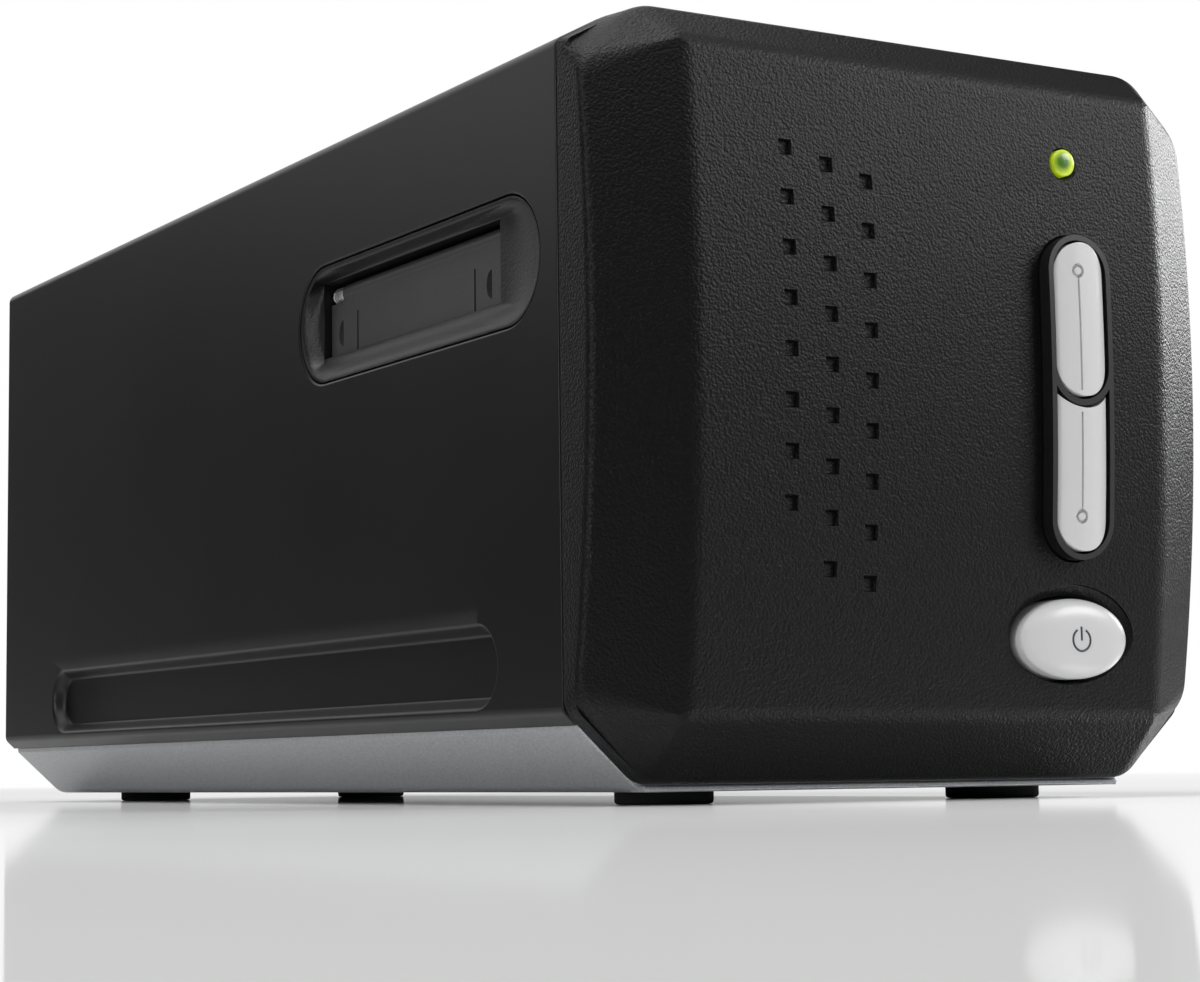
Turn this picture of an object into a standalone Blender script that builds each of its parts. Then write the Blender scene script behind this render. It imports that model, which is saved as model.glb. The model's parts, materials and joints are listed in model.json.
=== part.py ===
"""Film negative scanner: housing, film slots with sprung doors, buttons and scanning mechanism.

Metres, +Z up. The front faces -Y, and the origin is on the table under the middle of the object.
"""
import math

import bmesh
import bpy
import numpy as np
from mathutils import Matrix, Vector

# Housing
BODY_WIDTH = 0.118
BODY_DEPTH = 0.272
BODY_HEIGHT = 0.121
FLOOR_CLEARANCE = 0.002
SHOULDER_DROP = 0.0055
SHOULDER_RUN = 0.010
SILL_RISE = 0.012
SILL_RUN = 0.013
SPLIT_DROP = 0.0019
SHELL_WALL = 0.0022
SHELL_ROUND = 0.0008
SEAM_GAP = 0.0004
JOINT_GAP = 0.0003
RUNNING_GAP = 0.0005
OVERRUN = 0.004

# Front bezel
BEZEL_DEPTH = 0.0166
FACE_INSET = 0.0138
FACE_LOW = 0.013
FACE_DROP = 0.0067
FACE_BOW_RADIUS = 0.405
BOW_CENTRE_SHARE = 0.595
RIM_SETBACK = 0.0077
RIM_BOW_RADIUS = 0.317
RIM_LOW = 0.0165
RIM_DROP = 0.0105
CROWN_INSET = 0.0105
CROWN_SETBACK = 0.0103
CHIN_INSET = 0.01275
CHIN_SETBACK = 0.0135
CHIN_GAP = 0.0012
BEZEL_WALL = 0.0024
BEZEL_ROUND = 0.0009
CROWN_ROUND = 0.0075
BOW_ROWS = 9
LIP_REACH = 0.0013
LIP_THICKNESS = 0.0010

# Dimples in the face
DIMPLE_SIZE = 0.0023
DIMPLE_DEPTH = 0.0008
DIMPLE_INSET = 0.0170
DIMPLE_PITCH_X = 0.0074
DIMPLE_PITCH_Z = 0.00775
DIMPLE_DROP = 0.0153
DIMPLE_STEP_Z = 0.0020
DIMPLE_COUNTS = (8, 9, 9)

# Controls on the face
CONTROL_INSET = 0.0190
SURROUND_WIDTH = 0.0126
SURROUND_LOW = 0.0376
SURROUND_DROP = 0.0246
SURROUND_WALL = 0.0009
SURROUND_PROUD = 0.0024
SURROUND_FLANGE = 0.0020
SURROUND_ROUND = 0.0004
BUTTON_GAP = 0.00045
BUTTON_PROUD = 0.0007
BUTTON_ROUND = 0.0011
BUTTON_DEPTH = 0.0060
UPPER_BUTTON_SHARE = 0.475
BRIDGE_WALL = 0.0010
BUTTON_TRAVEL = 0.0008
POWER_WIDTH = 0.0215
POWER_HEIGHT = 0.0128
POWER_Z = 0.0252
POWER_CROWN = 0.0022
POWER_CROWN_SHARE = 0.7
POWER_SINK = 0.0006
POWER_DEPTH = 0.0050
POWER_TRAVEL = 0.0010
WELL_MARGIN = 0.0018
WELL_SHARE = 0.7
LAMP_RADIUS = 0.0022
LAMP_DROP = 0.0123
LAMP_PROUD = 0.0002
LAMP_CROWN = 0.0007

# Grip recesses in the sides
GRIP_REAR_INSET = 0.0318
GRIP_HEIGHT = 0.013
GRIP_DEPTH = 0.0026
GRIP_WALL = 0.0018
GRIP_SETBACK = 0.0372
GRIP_Z = 0.0217
GRIP_TAPER = 0.0012

# Film slots
SLOT_LENGTH = 0.0882
SLOT_HEIGHT = 0.0210
SLOT_SETBACK = 0.0223
SLOT_DROP = 0.0369
SLOT_BLOCK_DEPTH = 0.0075
SLOT_RIM = 0.0006
SCOOP_DEPTH = 0.0028
MOUTH_INSET = 0.0222
MOUTH_MARGIN = 0.0075
MOUTH_SHIFT = 0.0064
MOUTH_LIFT = 0.00145
MOUTH_END_SHARE = 1.7
MOUTH_SIDE_SHARE = 1.25
DOOR_THICKNESS = 0.0012
DOOR_BARREL_RADIUS = 0.0017
DOOR_PIN_RADIUS = 0.0007
DOOR_PIN_SEAT = 0.0020
DOOR_DEPTH = 0.0056
DOOR_NOTCH_RADIUS = 0.0024
DOOR_NOTCH_DEPTH = 0.0005
DOOR_SLIT_WIDTH = 0.0006
DOOR_SLIT_HEIGHT = 0.0075
DOOR_NOTCH_INSET = 0.0048
DOOR_NOTCH_RISE = 0.0041
DOOR_SLIT_INSET = 0.0106
SPRING_WIRE_RADIUS = 0.0003
SPRING_TURNS = 4
SPRING_STEPS = 9
SPRING_LENGTH = 0.0048
SPRING_LEG = 0.0060

# Feet and base screws
FOOT_RADIUS = 0.0078
FOOT_SEAT = 0.0009
FOOT_FRONT_INSET = 0.0135
FOOT_FRONT_SETBACK = 0.0315
FOOT_REAR_SIDE_INSET = 0.0188
FOOT_REAR_INSET = 0.0115
BOSS_RADIUS = 0.0045
SCREW_SIDE_INSET = 0.0155
SCREW_FRONT_INSET = 0.023
SCREW_REAR_INSET = 0.019
SCREW_SHANK_RADIUS = 0.0014
SCREW_HEAD_RADIUS = 0.0027
SCREW_HEAD_HEIGHT = 0.0016
SCREW_SINK = 0.0008
SCREW_GRIP = 0.0020

# Chassis
CHASSIS_SIDE_GAP = 0.0135
CHASSIS_WALL = 0.002
CHASSIS_SETBACK = 0.028
CHASSIS_REAR_INSET = 0.018
CHASSIS_LOW = 0.009

# Film track and lamp
TRACK_FLOOR = 0.0011
TRACK_WALL = 0.0022
TRACK_STEP = 0.0004
TRACK_END_GAP = 0.0004
WINDOW_INSET = 0.0311
WINDOW_WIDTH = 0.028
LAMP_BOX_INSET = 0.0191
LAMP_BOX_TOP_GAP = 0.0078
LAMP_BOX_WALL = 0.0015
LAMP_LEDGE = 0.0020
DIFFUSER_THICKNESS = 0.0020
BOARD_THICKNESS = 0.0016
LAMP_BOARD_DROP = 0.0065

# Carriage
CARRIAGE_SIDE_GAP = 0.006
CARRIAGE_NOSE = 0.016
CARRIAGE_REAR_GAP = 0.005
CARRIAGE_LOW = 0.024
CARRIAGE_DROP = 0.009
CARRIAGE_WALL = 0.002
SLIT_LEAD = 0.0128
SLIT_INSET = 0.010
SLIT_WIDTH = 0.004
SCAN_TRAVEL = 0.028
LENS_RADIUS = 0.009
GLASS_SHARE = 0.75
LENS_LENGTH = 0.026
LENS_TAIL = 0.040
LENS_GLASS_SINK = 0.0015
MIRROR_LENGTH = 0.023
MIRROR_THICKNESS = 0.002
GUIDE_INSET = 0.0095
GUIDE_ROD_RADIUS = 0.003
GUIDE_ROD_Z = 0.032
GUIDE_RAIL_RADIUS = 0.0025
GUIDE_RAIL_DROP = 0.003
BUSH_WALL = 0.0018
BUSH_LENGTH = 0.010
BUSH_CLEARANCE = 0.00015
EAR_WALL = 0.0014
SENSOR_BOARD_MARGIN = 0.002

# Belt drive
BELT_INSET = 0.0095
BELT_WIDTH = 0.004
BELT_THICKNESS = 0.0012
BELT_Z = 0.032
PULLEY_RADIUS = 0.006
PULLEY_FLANGE = 0.0022
PULLEY_FLANGE_WIDTH = 0.0006
IDLER_INSET = 0.012
MOTOR_REAR_GAP = 0.0030
GEAR_MODULE = 0.001
GEAR_TEETH = 36
PINION_TEETH = 12
ROOT_SHARE = 1.25
FLANK_POINTS = 3
GEAR_WIDTH = 0.004
GEAR_SETBACK = 0.0095
BACKLASH = 0.00016
MESH_SLACK = 0.0003
AXLE_RADIUS = 0.0015
MOTOR_RADIUS = 0.0175
MOTOR_LENGTH = 0.018
MOTOR_SHAFT_RADIUS = 0.001
MOTOR_PLATE_SETBACK = 0.0045
MOTOR_PLATE_THICKNESS = 0.002
MOTOR_PLATE_NOSE = 0.010
CLIP_LENGTH = 0.012
CLIP_SETBACK = 0.022
CLIP_WALL = 0.0015

# Electronics
MAIN_BOARD_FRONT_GAP = 0.0125
MAIN_BOARD_SIDE_INSET = 0.0045
SOCKET_X = 0.018
USB_WIDTH = 0.012
USB_HEIGHT = 0.0108
USB_DEPTH = 0.016
USB_MOUTH_WIDTH = 0.0084
USB_MOUTH_HEIGHT = 0.0076
USB_TONGUE = 0.0032
JACK_SIZE = 0.0095
JACK_DEPTH = 0.0135
JACK_BORE_RADIUS = 0.0032
JACK_PIN_RADIUS = 0.0010
SOCKET_MOUTH_DEPTH = 0.0090
REAR_PANEL_THICKNESS = 0.0022
REAR_PANEL_SINK = 0.0006
SWITCH_BOARD_LOW = 0.017
SWITCH_BOARD_TOP = 0.006
SWITCH_BOARD_WIDTH = 0.026
SWITCH_BOARD_SETBACK = 0.0136
SWITCH_SIZE = 0.006
SWITCH_BODY_HEIGHT = 0.0020
PLUNGER_RADIUS = 0.0016
PLUNGER_REACH = 0.0009
STEM_RADIUS = 0.0020
BOARD_POST_RADIUS = 0.0020
BOARD_POST_INSET = 0.0035

# Places that follow from the sizes above
HALF_WIDTH = BODY_WIDTH / 2
FRONT_Y = (SURROUND_PROUD + BUTTON_PROUD - BODY_DEPTH) / 2
REAR_Y = FRONT_Y + BODY_DEPTH
SEAM_Y = FRONT_Y + BEZEL_DEPTH
GRIP_LENGTH = BODY_DEPTH - GRIP_SETBACK - GRIP_REAR_INSET
GRIP_Y = FRONT_Y + GRIP_SETBACK + GRIP_LENGTH / 2
SLOT_Y = FRONT_Y + SLOT_SETBACK + SLOT_LENGTH / 2
MOUTH_LENGTH = SLOT_LENGTH - MOUTH_INSET
MOUTH_HEIGHT = SLOT_HEIGHT - MOUTH_MARGIN
MOUTH_Y = SLOT_Y + MOUTH_SHIFT
SLOT_Z = BODY_HEIGHT - SLOT_DROP
MOUTH_Z = SLOT_Z + MOUTH_LIFT
FOOT_FRONT_Y = FRONT_Y + FOOT_FRONT_SETBACK
FOOT_REAR_Y = REAR_Y - FOOT_REAR_INSET
CHASSIS_FRONT = FRONT_Y + CHASSIS_SETBACK
CHASSIS_REAR = REAR_Y - CHASSIS_REAR_INSET
SCREW_FRONT_Y = CHASSIS_FRONT + SCREW_FRONT_INSET
SCREW_REAR_Y = CHASSIS_REAR - SCREW_REAR_INSET
SLIT_Y = MOUTH_Y - SLIT_LEAD
CARRIAGE_FRONT = SLIT_Y - CARRIAGE_NOSE
CLIP_Y = SLIT_Y + CLIP_SETBACK
IDLER_Y = CHASSIS_FRONT + IDLER_INSET
SHOULDER_Z = BODY_HEIGHT - SHOULDER_DROP
TOP_HALF = HALF_WIDTH - SHOULDER_RUN
SILL_Z = FLOOR_CLEARANCE + SILL_RISE
FLOOR_HALF = HALF_WIDTH - SILL_RUN
SPLIT_Z = SILL_Z - SPLIT_DROP
SPLIT_HALF = HALF_WIDTH - SPLIT_DROP * SILL_RUN / SILL_RISE
MOUTH_LOW = MOUTH_Z - MOUTH_HEIGHT / 2
MOUTH_HIGH = MOUTH_Z + MOUTH_HEIGHT / 2
MOUTH_FRONT = MOUTH_Y - MOUTH_LENGTH / 2
MOUTH_REAR = MOUTH_Y + MOUTH_LENGTH / 2
DOOR_X = HALF_WIDTH - DOOR_DEPTH
DOOR_PIVOT_Z = MOUTH_HIGH - DOOR_BARREL_RADIUS - RUNNING_GAP
GEAR_RADIUS = GEAR_MODULE * GEAR_TEETH / 2
PINION_RADIUS = GEAR_MODULE * PINION_TEETH / 2
PINION_Y = CHASSIS_REAR - CHASSIS_WALL - MOTOR_REAR_GAP - MOTOR_RADIUS
GEAR_Y = PINION_Y - GEAR_RADIUS - PINION_RADIUS - MESH_SLACK
MOTOR_PLATE_FRONT = GEAR_Y - MOTOR_PLATE_NOSE
CARRIAGE_REAR = GEAR_Y - GEAR_RADIUS - CARRIAGE_REAR_GAP - SCAN_TRAVEL
LENS_Y = CARRIAGE_REAR - LENS_TAIL
SWITCH_BOARD_Y = FRONT_Y + SWITCH_BOARD_SETBACK
FACE_HALF = HALF_WIDTH - FACE_INSET
FACE_HIGH = BODY_HEIGHT - FACE_DROP
RIM_HIGH = BODY_HEIGHT - RIM_DROP
BOW_CENTRE = BODY_HEIGHT * BOW_CENTRE_SHARE
CONTROL_X = FACE_HALF - CONTROL_INSET
SURROUND_HIGH = FACE_HIGH - SURROUND_DROP
LAMP_Z = FACE_HIGH - LAMP_DROP
SWITCH_BOARD_HIGH = LAMP_Z + SWITCH_BOARD_TOP
FOOT_FRONT_X = FLOOR_HALF - FOOT_FRONT_INSET
FOOT_REAR_X = FLOOR_HALF - FOOT_REAR_SIDE_INSET
CHASSIS_HALF = HALF_WIDTH - CHASSIS_SIDE_GAP
CHASSIS_HIGH = MOUTH_LOW - TRACK_STEP - TRACK_FLOOR - JOINT_GAP
MAIN_BOARD_Z = CHASSIS_HIGH + JOINT_GAP
SCREW_X = CHASSIS_HALF - SCREW_SIDE_INSET
GUIDE_X = CHASSIS_HALF - GUIDE_INSET
BELT_X = CHASSIS_HALF - BELT_INSET
GEAR_X = BELT_X - GEAR_SETBACK
MOTOR_PLATE_X = GEAR_X - MOTOR_PLATE_SETBACK
CARRIAGE_HALF = GUIDE_X - CARRIAGE_SIDE_GAP
CARRIAGE_HIGH = CHASSIS_HIGH - CARRIAGE_DROP
LENS_Z = (CARRIAGE_LOW + CARRIAGE_HIGH) / 2
GUIDE_RAIL_Z = CARRIAGE_HIGH - GUIDE_RAIL_DROP
UPPER_BUTTON_LOW = SURROUND_HIGH - SURROUND_WALL - BUTTON_GAP
UPPER_BUTTON_LOW -= (SURROUND_HIGH - SURROUND_LOW) * UPPER_BUTTON_SHARE

ROUND_STEPS = 20
SMALL_ROUND_STEPS = 12
CORNER_STEPS = 2
CROWN_STEPS = 3
SHARP_ANGLE = math.radians(32)
BEZEL_ROUND_ANGLE = math.radians(10)
COPLANAR_ANGLE = math.radians(0.4)

FINISHES = {
    "black_shell": ((0.012, 0.012, 0.013), 0.45, 0.0),
    "black_bezel": ((0.018, 0.018, 0.019), 0.50, 0.0),
    "gloss_black": ((0.006, 0.006, 0.006), 0.12, 0.0),
    "silver_base": ((0.42, 0.44, 0.47), 0.35, 0.5),
    "satin_silver": ((0.68, 0.68, 0.68), 0.28, 0.85),
    "lamp_green": ((0.42, 0.75, 0.03), 0.15, 0.0),
    "rubber": ((0.010, 0.010, 0.010), 0.85, 0.0),
    "dark_plastic": ((0.020, 0.020, 0.020), 0.60, 0.0),
    "steel": ((0.50, 0.50, 0.50), 0.30, 1.0),
    "bronze": ((0.45, 0.28, 0.12), 0.40, 1.0),
    "white_plastic": ((0.75, 0.75, 0.72), 0.50, 0.0),
    "board_green": ((0.02, 0.14, 0.05), 0.45, 0.0),
    "mirror": ((0.90, 0.90, 0.90), 0.03, 1.0),
    "belt_black": ((0.015, 0.015, 0.015), 0.75, 0.0),
}


def clear_scene():
    """Take out every object and the meshes that they leave behind."""
    for item in list(bpy.data.objects):
        bpy.data.objects.remove(item, do_unlink=True)
    for mesh in list(bpy.data.meshes):
        bpy.data.meshes.remove(mesh)


def finish(name):
    """Give the material of that name, made once."""
    if name in bpy.data.materials:
        return bpy.data.materials[name]
    colour, roughness, metallic = FINISHES[name]
    material = bpy.data.materials.new(name)
    material.use_nodes = True
    shader = material.node_tree.nodes["Principled BSDF"]
    shader.inputs["Base Color"].default_value = (*colour, 1.0)
    shader.inputs["Roughness"].default_value = roughness
    shader.inputs["Metallic"].default_value = metallic
    return material


def place(axis, a, b, c):
    """Turn outline coordinates a, b and a height c along the axis into a point."""
    if axis == "X":
        return Vector((c, a, b))
    if axis == "Y":
        return Vector((a, c, b))
    return Vector((a, b, c))


def new_object(name, bm, material=None):
    """Make an object of the bmesh, smooth but for its sharp edges."""
    bmesh.ops.recalc_face_normals(bm, faces=bm.faces)
    mesh = bpy.data.meshes.new(name)
    bm.to_mesh(mesh)
    bm.free()
    mesh.shade_smooth()
    mesh.set_sharp_from_angle(angle=SHARP_ANGLE)
    item = bpy.data.objects.new(name, mesh)
    bpy.context.collection.objects.link(item)
    if material:
        mesh.materials.append(finish(material))
    return item


def loft(name, rings, material=None):
    """Join rings of equal length side by side and close both ends."""
    bm = bmesh.new()
    loops = [[bm.verts.new(point) for point in ring] for ring in rings]
    for low, high in zip(loops, loops[1:]):
        for i in range(len(low)):
            j = (i + 1) % len(low)
            bm.faces.new((low[i], low[j], high[j], high[i]))
    bm.faces.new(loops[0])
    bm.faces.new(loops[-1])
    return new_object(name, bm, material)


def prism(name, axis, outline, low, high, material=None):
    """Extrude a flat outline along the axis."""
    rings = [[place(axis, a, b, c) for a, b in outline] for c in (low, high)]
    return loft(name, rings, material)


def block(name, low, high, material=None):
    """A rectangular block between two corners."""
    corners = [(low[0], low[1]), (high[0], low[1]), (high[0], high[1]), (low[0], high[1])]
    return prism(name, "Z", corners, low[2], high[2], material)


def arc(a, b, radius, start, end, steps):
    """Points on an arc, from the start angle to the end angle."""
    angles = np.linspace(start, end, steps + 1)
    return [(a + radius * math.cos(t), b + radius * math.sin(t)) for t in angles]


def circle(a, b, radius, steps=ROUND_STEPS):
    """A full circle without a doubled last point."""
    return arc(a, b, radius, 0, 2 * math.pi, steps)[:-1]


def stadium(a, b, length, height, steps=SMALL_ROUND_STEPS):
    """An outline along the first coordinate with a half round at each end."""
    radius = height / 2
    reach = length / 2 - radius
    right = arc(a + reach, b, radius, -math.pi / 2, math.pi / 2, steps)
    left = arc(a - reach, b, radius, math.pi / 2, 3 * math.pi / 2, steps)
    return right + left


def upright(outline):
    """The same outline with its two coordinates exchanged."""
    return [(b, a) for a, b in outline]


def rod(name, axis, centre, radius, low, high, material=None, steps=ROUND_STEPS):
    """A straight round bar."""
    return prism(name, axis, circle(*centre, radius, steps), low, high, material)


def offset_path(points, distance):
    """Move an open path to its left by the distance, with mitred corners."""
    points = [Vector(p) for p in points]
    moved = []
    for i, point in enumerate(points):
        before = points[max(i - 1, 0)]
        after = points[min(i + 1, len(points) - 1)]
        first = (point - before).normalized() if i else (after - point).normalized()
        last = (after - point).normalized() if i < len(points) - 1 else first
        normal = Vector((-first.y, first.x)) + Vector((-last.y, last.x))
        normal.normalize()
        reach = distance / max(normal.dot(Vector((-last.y, last.x))), 0.2)
        moved.append(tuple(point + normal * reach))
    return moved


def hide_tool(tool):
    """Mark an object as a tool that is not part of the scanner."""
    tool.hide_render = True
    tool.display_type = "WIRE"
    tool.hide_set(True)


def boolean(item, tool, operation):
    """Add an exact Boolean of the tool to the item."""
    modifier = item.modifiers.new(f"{operation.lower()}_{len(item.modifiers)}", "BOOLEAN")
    modifier.operation = operation
    modifier.solver = "EXACT"
    modifier.object = tool
    hide_tool(tool)


def cut(item, *tools):
    """Take each tool's space out of the item."""
    for tool in tools:
        boolean(item, tool, "DIFFERENCE")


def join(item, *tools):
    """Fuse each tool with the item."""
    for tool in tools:
        boolean(item, tool, "UNION")


def keep_inside(item, tool):
    """Keep what lies inside the tool."""
    boolean(item, tool, "INTERSECT")


def soften(item, width, segments=2):
    """Round the item's sharp edges."""
    modifier = item.modifiers.new("rounded_edges", "BEVEL")
    modifier.width = width
    modifier.segments = segments
    modifier.limit_method = "ANGLE"
    modifier.angle_limit = SHARP_ANGLE
    modifier.use_clamp_overlap = True


def set_origin(item, point):
    """Put the object's origin at a point, with its shape left where it is."""
    point = Vector(point)
    item.data.transform(Matrix.Translation(-point))
    item.location = point


def motion_empty(name, point, children):
    """An empty on a joint's axis that carries the pieces that move with it."""
    empty = bpy.data.objects.new(name, None)
    empty.location = point
    bpy.context.collection.objects.link(empty)
    for child in children:
        child.parent = empty
        child.matrix_parent_inverse = Matrix.Translation(-Vector(point))
    return empty


def face_y(z, proud=0.0):
    """Front of the bowed face at a height, or of a surface that far in front of it."""
    return FRONT_Y + (z - BOW_CENTRE) ** 2 / (2 * FACE_BOW_RADIUS) - proud


def rim_y(z):
    """Front of the side rim at a height."""
    return FRONT_Y + RIM_SETBACK + (z - BOW_CENTRE) ** 2 / (2 * RIM_BOW_RADIUS)


def soft_corner(before, corner, after, setback, steps):
    """Points of a rounded corner between two neighbours, starting that far from its tip."""
    tip = Vector(corner)
    start = tip + (Vector(before) - tip).normalized() * setback
    end = tip + (Vector(after) - tip).normalized() * setback
    return [tuple(start.lerp(tip, t).lerp(tip.lerp(end, t), t)) for t in np.linspace(0, 1, steps + 1)]


def shell_path():
    """The outside of the black cover, from the left split over the top to the right one."""
    left = [(-SPLIT_HALF, SPLIT_Z), (-HALF_WIDTH, SILL_Z), (-HALF_WIDTH, SHOULDER_Z)]
    left += soft_corner((-HALF_WIDTH, SHOULDER_Z), (-TOP_HALF, BODY_HEIGHT), (0.0, BODY_HEIGHT),
                        CROWN_ROUND, CROWN_STEPS)
    right = [(-x, z) for x, z in reversed(left)]
    return left + right


def base_path():
    """The outside of the silver base, from the right split under the floor to the left one."""
    slope = SILL_RUN / SILL_RISE
    right = [(SPLIT_HALF - SEAM_GAP * slope, SPLIT_Z - SEAM_GAP), (FLOOR_HALF, FLOOR_CLEARANCE)]
    left = [(-x, z) for x, z in reversed(right)]
    return right + left


def round_corners(path, setback):
    """Round each inner corner of an open path, starting that far from the corner."""
    rounded = [tuple(path[0])]
    for before, corner, after in zip(path, path[1:], path[2:]):
        rounded += soft_corner(before, corner, after, setback, CORNER_STEPS)
    rounded.append(tuple(path[-1]))
    return rounded


def ring_of(path, wall):
    """Close an open path into a wall on its inner side, with its outer corners rounded."""
    return round_corners(path, SHELL_ROUND) + list(reversed(offset_path(path, -wall)))


def grip_outline(margin=0.0):
    """The long recess in the side, grown by a margin."""
    return stadium(GRIP_Y, GRIP_Z, GRIP_LENGTH + 2 * margin, GRIP_HEIGHT + 2 * margin)


def slot_outline(margin=0.0):
    """The round-ended film slot in the side, grown by a margin."""
    return stadium(SLOT_Y, SLOT_Z, SLOT_LENGTH + 2 * margin, SLOT_HEIGHT + 2 * margin)


def rings_along_x(outlines, places):
    """Put flat outlines at places along the X axis."""
    return [[place("X", a, b, c) for a, b in outline] for outline, c in zip(outlines, places)]


def make_top_cover():
    """The black cover: one bent wall with a film slot and a pocketed grip on each side."""
    outline = ring_of(shell_path(), SHELL_WALL)
    cover = prism("top_cover", "Y", outline, SEAM_Y + SEAM_GAP / 2, REAR_Y, "black_shell")
    for side in (-1, 1):
        outer = side * HALF_WIDTH
        floor = side * (HALF_WIDTH - GRIP_DEPTH)
        back = side * (HALF_WIDTH - GRIP_DEPTH - GRIP_WALL)
        pocket = loft("grip_pocket", rings_along_x(
            (grip_outline(), grip_outline(GRIP_WALL)), (back, outer - side * SHELL_WALL / 2)))
        join(cover, pocket)
        past = side * (HALF_WIDTH + OVERRUN)
        rise = GRIP_TAPER * OVERRUN / GRIP_DEPTH
        hollow = loft("grip_hollow", rings_along_x(
            (grip_outline(-GRIP_TAPER), grip_outline(rise)), (floor, past)))
        window = prism("slot_window", "X", slot_outline(), side * (HALF_WIDTH - SHELL_WALL - OVERRUN), past)
        cut(cover, hollow, window)
    return cover


def make_base_tray():
    """The silver base: floor, sloped sills, front lip, foot seats and chassis bosses."""
    outline = ring_of(base_path(), SHELL_WALL)
    tray = prism("base_tray", "Y", outline, SEAM_Y + SEAM_GAP / 2, REAR_Y, "silver_base")
    lip_half = HALF_WIDTH - CHIN_INSET
    lip = block("base_lip", (-lip_half, SEAM_Y - LIP_REACH, FLOOR_CLEARANCE),
                (lip_half, SEAM_Y + OVERRUN, FLOOR_CLEARANCE + LIP_THICKNESS))
    join(tray, lip)
    boss_top = CHASSIS_LOW - JOINT_GAP
    floor_top = FLOOR_CLEARANCE + SHELL_WALL
    for x, y in screw_places():
        join(tray, rod("chassis_boss", "Z", (x, y), BOSS_RADIUS, floor_top - SHELL_WALL / 2, boss_top))
    for x, y in foot_places():
        cut(tray, rod("foot_seat", "Z", (x, y), FOOT_RADIUS + JOINT_GAP, FLOOR_CLEARANCE - OVERRUN,
                      FLOOR_CLEARANCE + FOOT_SEAT))
    for x, y in screw_places():
        head_top = screw_head_low() + SCREW_HEAD_HEIGHT + JOINT_GAP
        cut(tray, rod("head_bore", "Z", (x, y), SCREW_HEAD_RADIUS + JOINT_GAP, FLOOR_CLEARANCE - OVERRUN,
                      head_top),
            rod("shank_bore", "Z", (x, y), SCREW_SHANK_RADIUS + JOINT_GAP, FLOOR_CLEARANCE,
                boss_top + OVERRUN))
    return tray


def foot_places():
    """Centres of the four feet."""
    front = [(side * FOOT_FRONT_X, FOOT_FRONT_Y) for side in (-1, 1)]
    return front + [(side * FOOT_REAR_X, FOOT_REAR_Y) for side in (-1, 1)]


def screw_places():
    """Centres of the four base screws."""
    return [(side * SCREW_X, y) for y in (SCREW_FRONT_Y, SCREW_REAR_Y) for side in (-1, 1)]


def screw_head_low():
    """Height of the under face of each base screw."""
    return FLOOR_CLEARANCE + SCREW_SINK


def bezel_points(inset, back):
    """Corner points of the bezel's outer form, drawn in by an inset, closed at the back plane."""
    half = HALF_WIDTH - inset
    top = BODY_HEIGHT - inset
    low = FLOOR_CLEARANCE + CHIN_GAP + inset
    points = []
    chin_run = (SILL_Z - FLOOR_CLEARANCE - CHIN_GAP) * SILL_RUN / SILL_RISE
    for side in (-1, 1):
        points += [(side * half, back, SHOULDER_Z - inset / 2), (side * half, back, SILL_Z + inset / 2)]
        shoulder = (side * half, back, SHOULDER_Z - inset / 2)
        points += soft_corner(shoulder, (side * (TOP_HALF - inset / 2), back, top), (0.0, back, top),
                              CROWN_ROUND,
                              CROWN_STEPS)
        points += [(side * (HALF_WIDTH - chin_run - inset / 2), back, low)]
        crown_y = FRONT_Y + CROWN_SETBACK + inset
        corner = (side * half, rim_y(RIM_HIGH) + inset / 2, RIM_HIGH - inset / 2)
        points += soft_corner(corner, (side * (HALF_WIDTH - CROWN_INSET - inset), crown_y, top),
                              (0.0, crown_y, top),
                              CROWN_ROUND, CROWN_STEPS)
        points += [(side * (HALF_WIDTH - CHIN_INSET - inset), FRONT_Y + CHIN_SETBACK + inset, low)]
        for z in np.linspace(RIM_LOW + inset / 2, RIM_HIGH - inset / 2, BOW_ROWS):
            points.append((side * half, rim_y(z) + inset / 2, z))
        for z in np.linspace(FACE_LOW + inset, FACE_HIGH - inset, BOW_ROWS):
            points.append((side * (FACE_HALF - inset / 2), face_y(z) + inset, z))
    return points


def bezel_form(name, inset, back, material=None):
    """The convex form over the bezel's corner points, with its outer edges rounded."""
    bm = bmesh.new()
    points = bezel_points(inset, back)
    rear = back + OVERRUN
    seam = [point for point in points if point[1] == back]
    for point in points + [(x, rear, z) for x, _, z in seam]:
        bm.verts.new(point)
    bmesh.ops.convex_hull(bm, input=bm.verts)
    loose = [v for v in bm.verts if not v.link_faces]
    bmesh.ops.delete(bm, geom=loose, context="VERTS")
    bmesh.ops.dissolve_limit(bm, angle_limit=COPLANAR_ANGLE, verts=bm.verts, edges=bm.edges)
    if not inset:
        sharp = [e for e in bm.edges if e.calc_face_angle(0) > BEZEL_ROUND_ANGLE]
        outer = [e for e in sharp if min(v.co.y for v in e.verts) < back + OVERRUN / 2]
        bmesh.ops.bevel(bm, geom=outer, offset=BEZEL_ROUND, segments=2, affect="EDGES", profile=0.5,
                        clamp_overlap=True)
        everything = list(bm.verts) + list(bm.edges) + list(bm.faces)
        halved = bmesh.ops.bisect_plane(bm, geom=everything, plane_co=(0, back, 0), plane_no=(0, 1, 0),
                                        clear_outer=True)
        rim = [e for e in halved["geom_cut"] if isinstance(e, bmesh.types.BMEdge)]
        bmesh.ops.contextual_create(bm, geom=rim)
    return new_object(name, bm, material)


def dimple_places():
    """Centres of the square dimples, column by column."""
    places = []
    for column, count in enumerate(DIMPLE_COUNTS):
        x = DIMPLE_INSET - FACE_HALF + column * DIMPLE_PITCH_X
        top = FACE_HIGH - DIMPLE_DROP - column * DIMPLE_STEP_Z
        places += [(x, top - row * DIMPLE_PITCH_Z) for row in range(count)]
    return places


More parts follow.
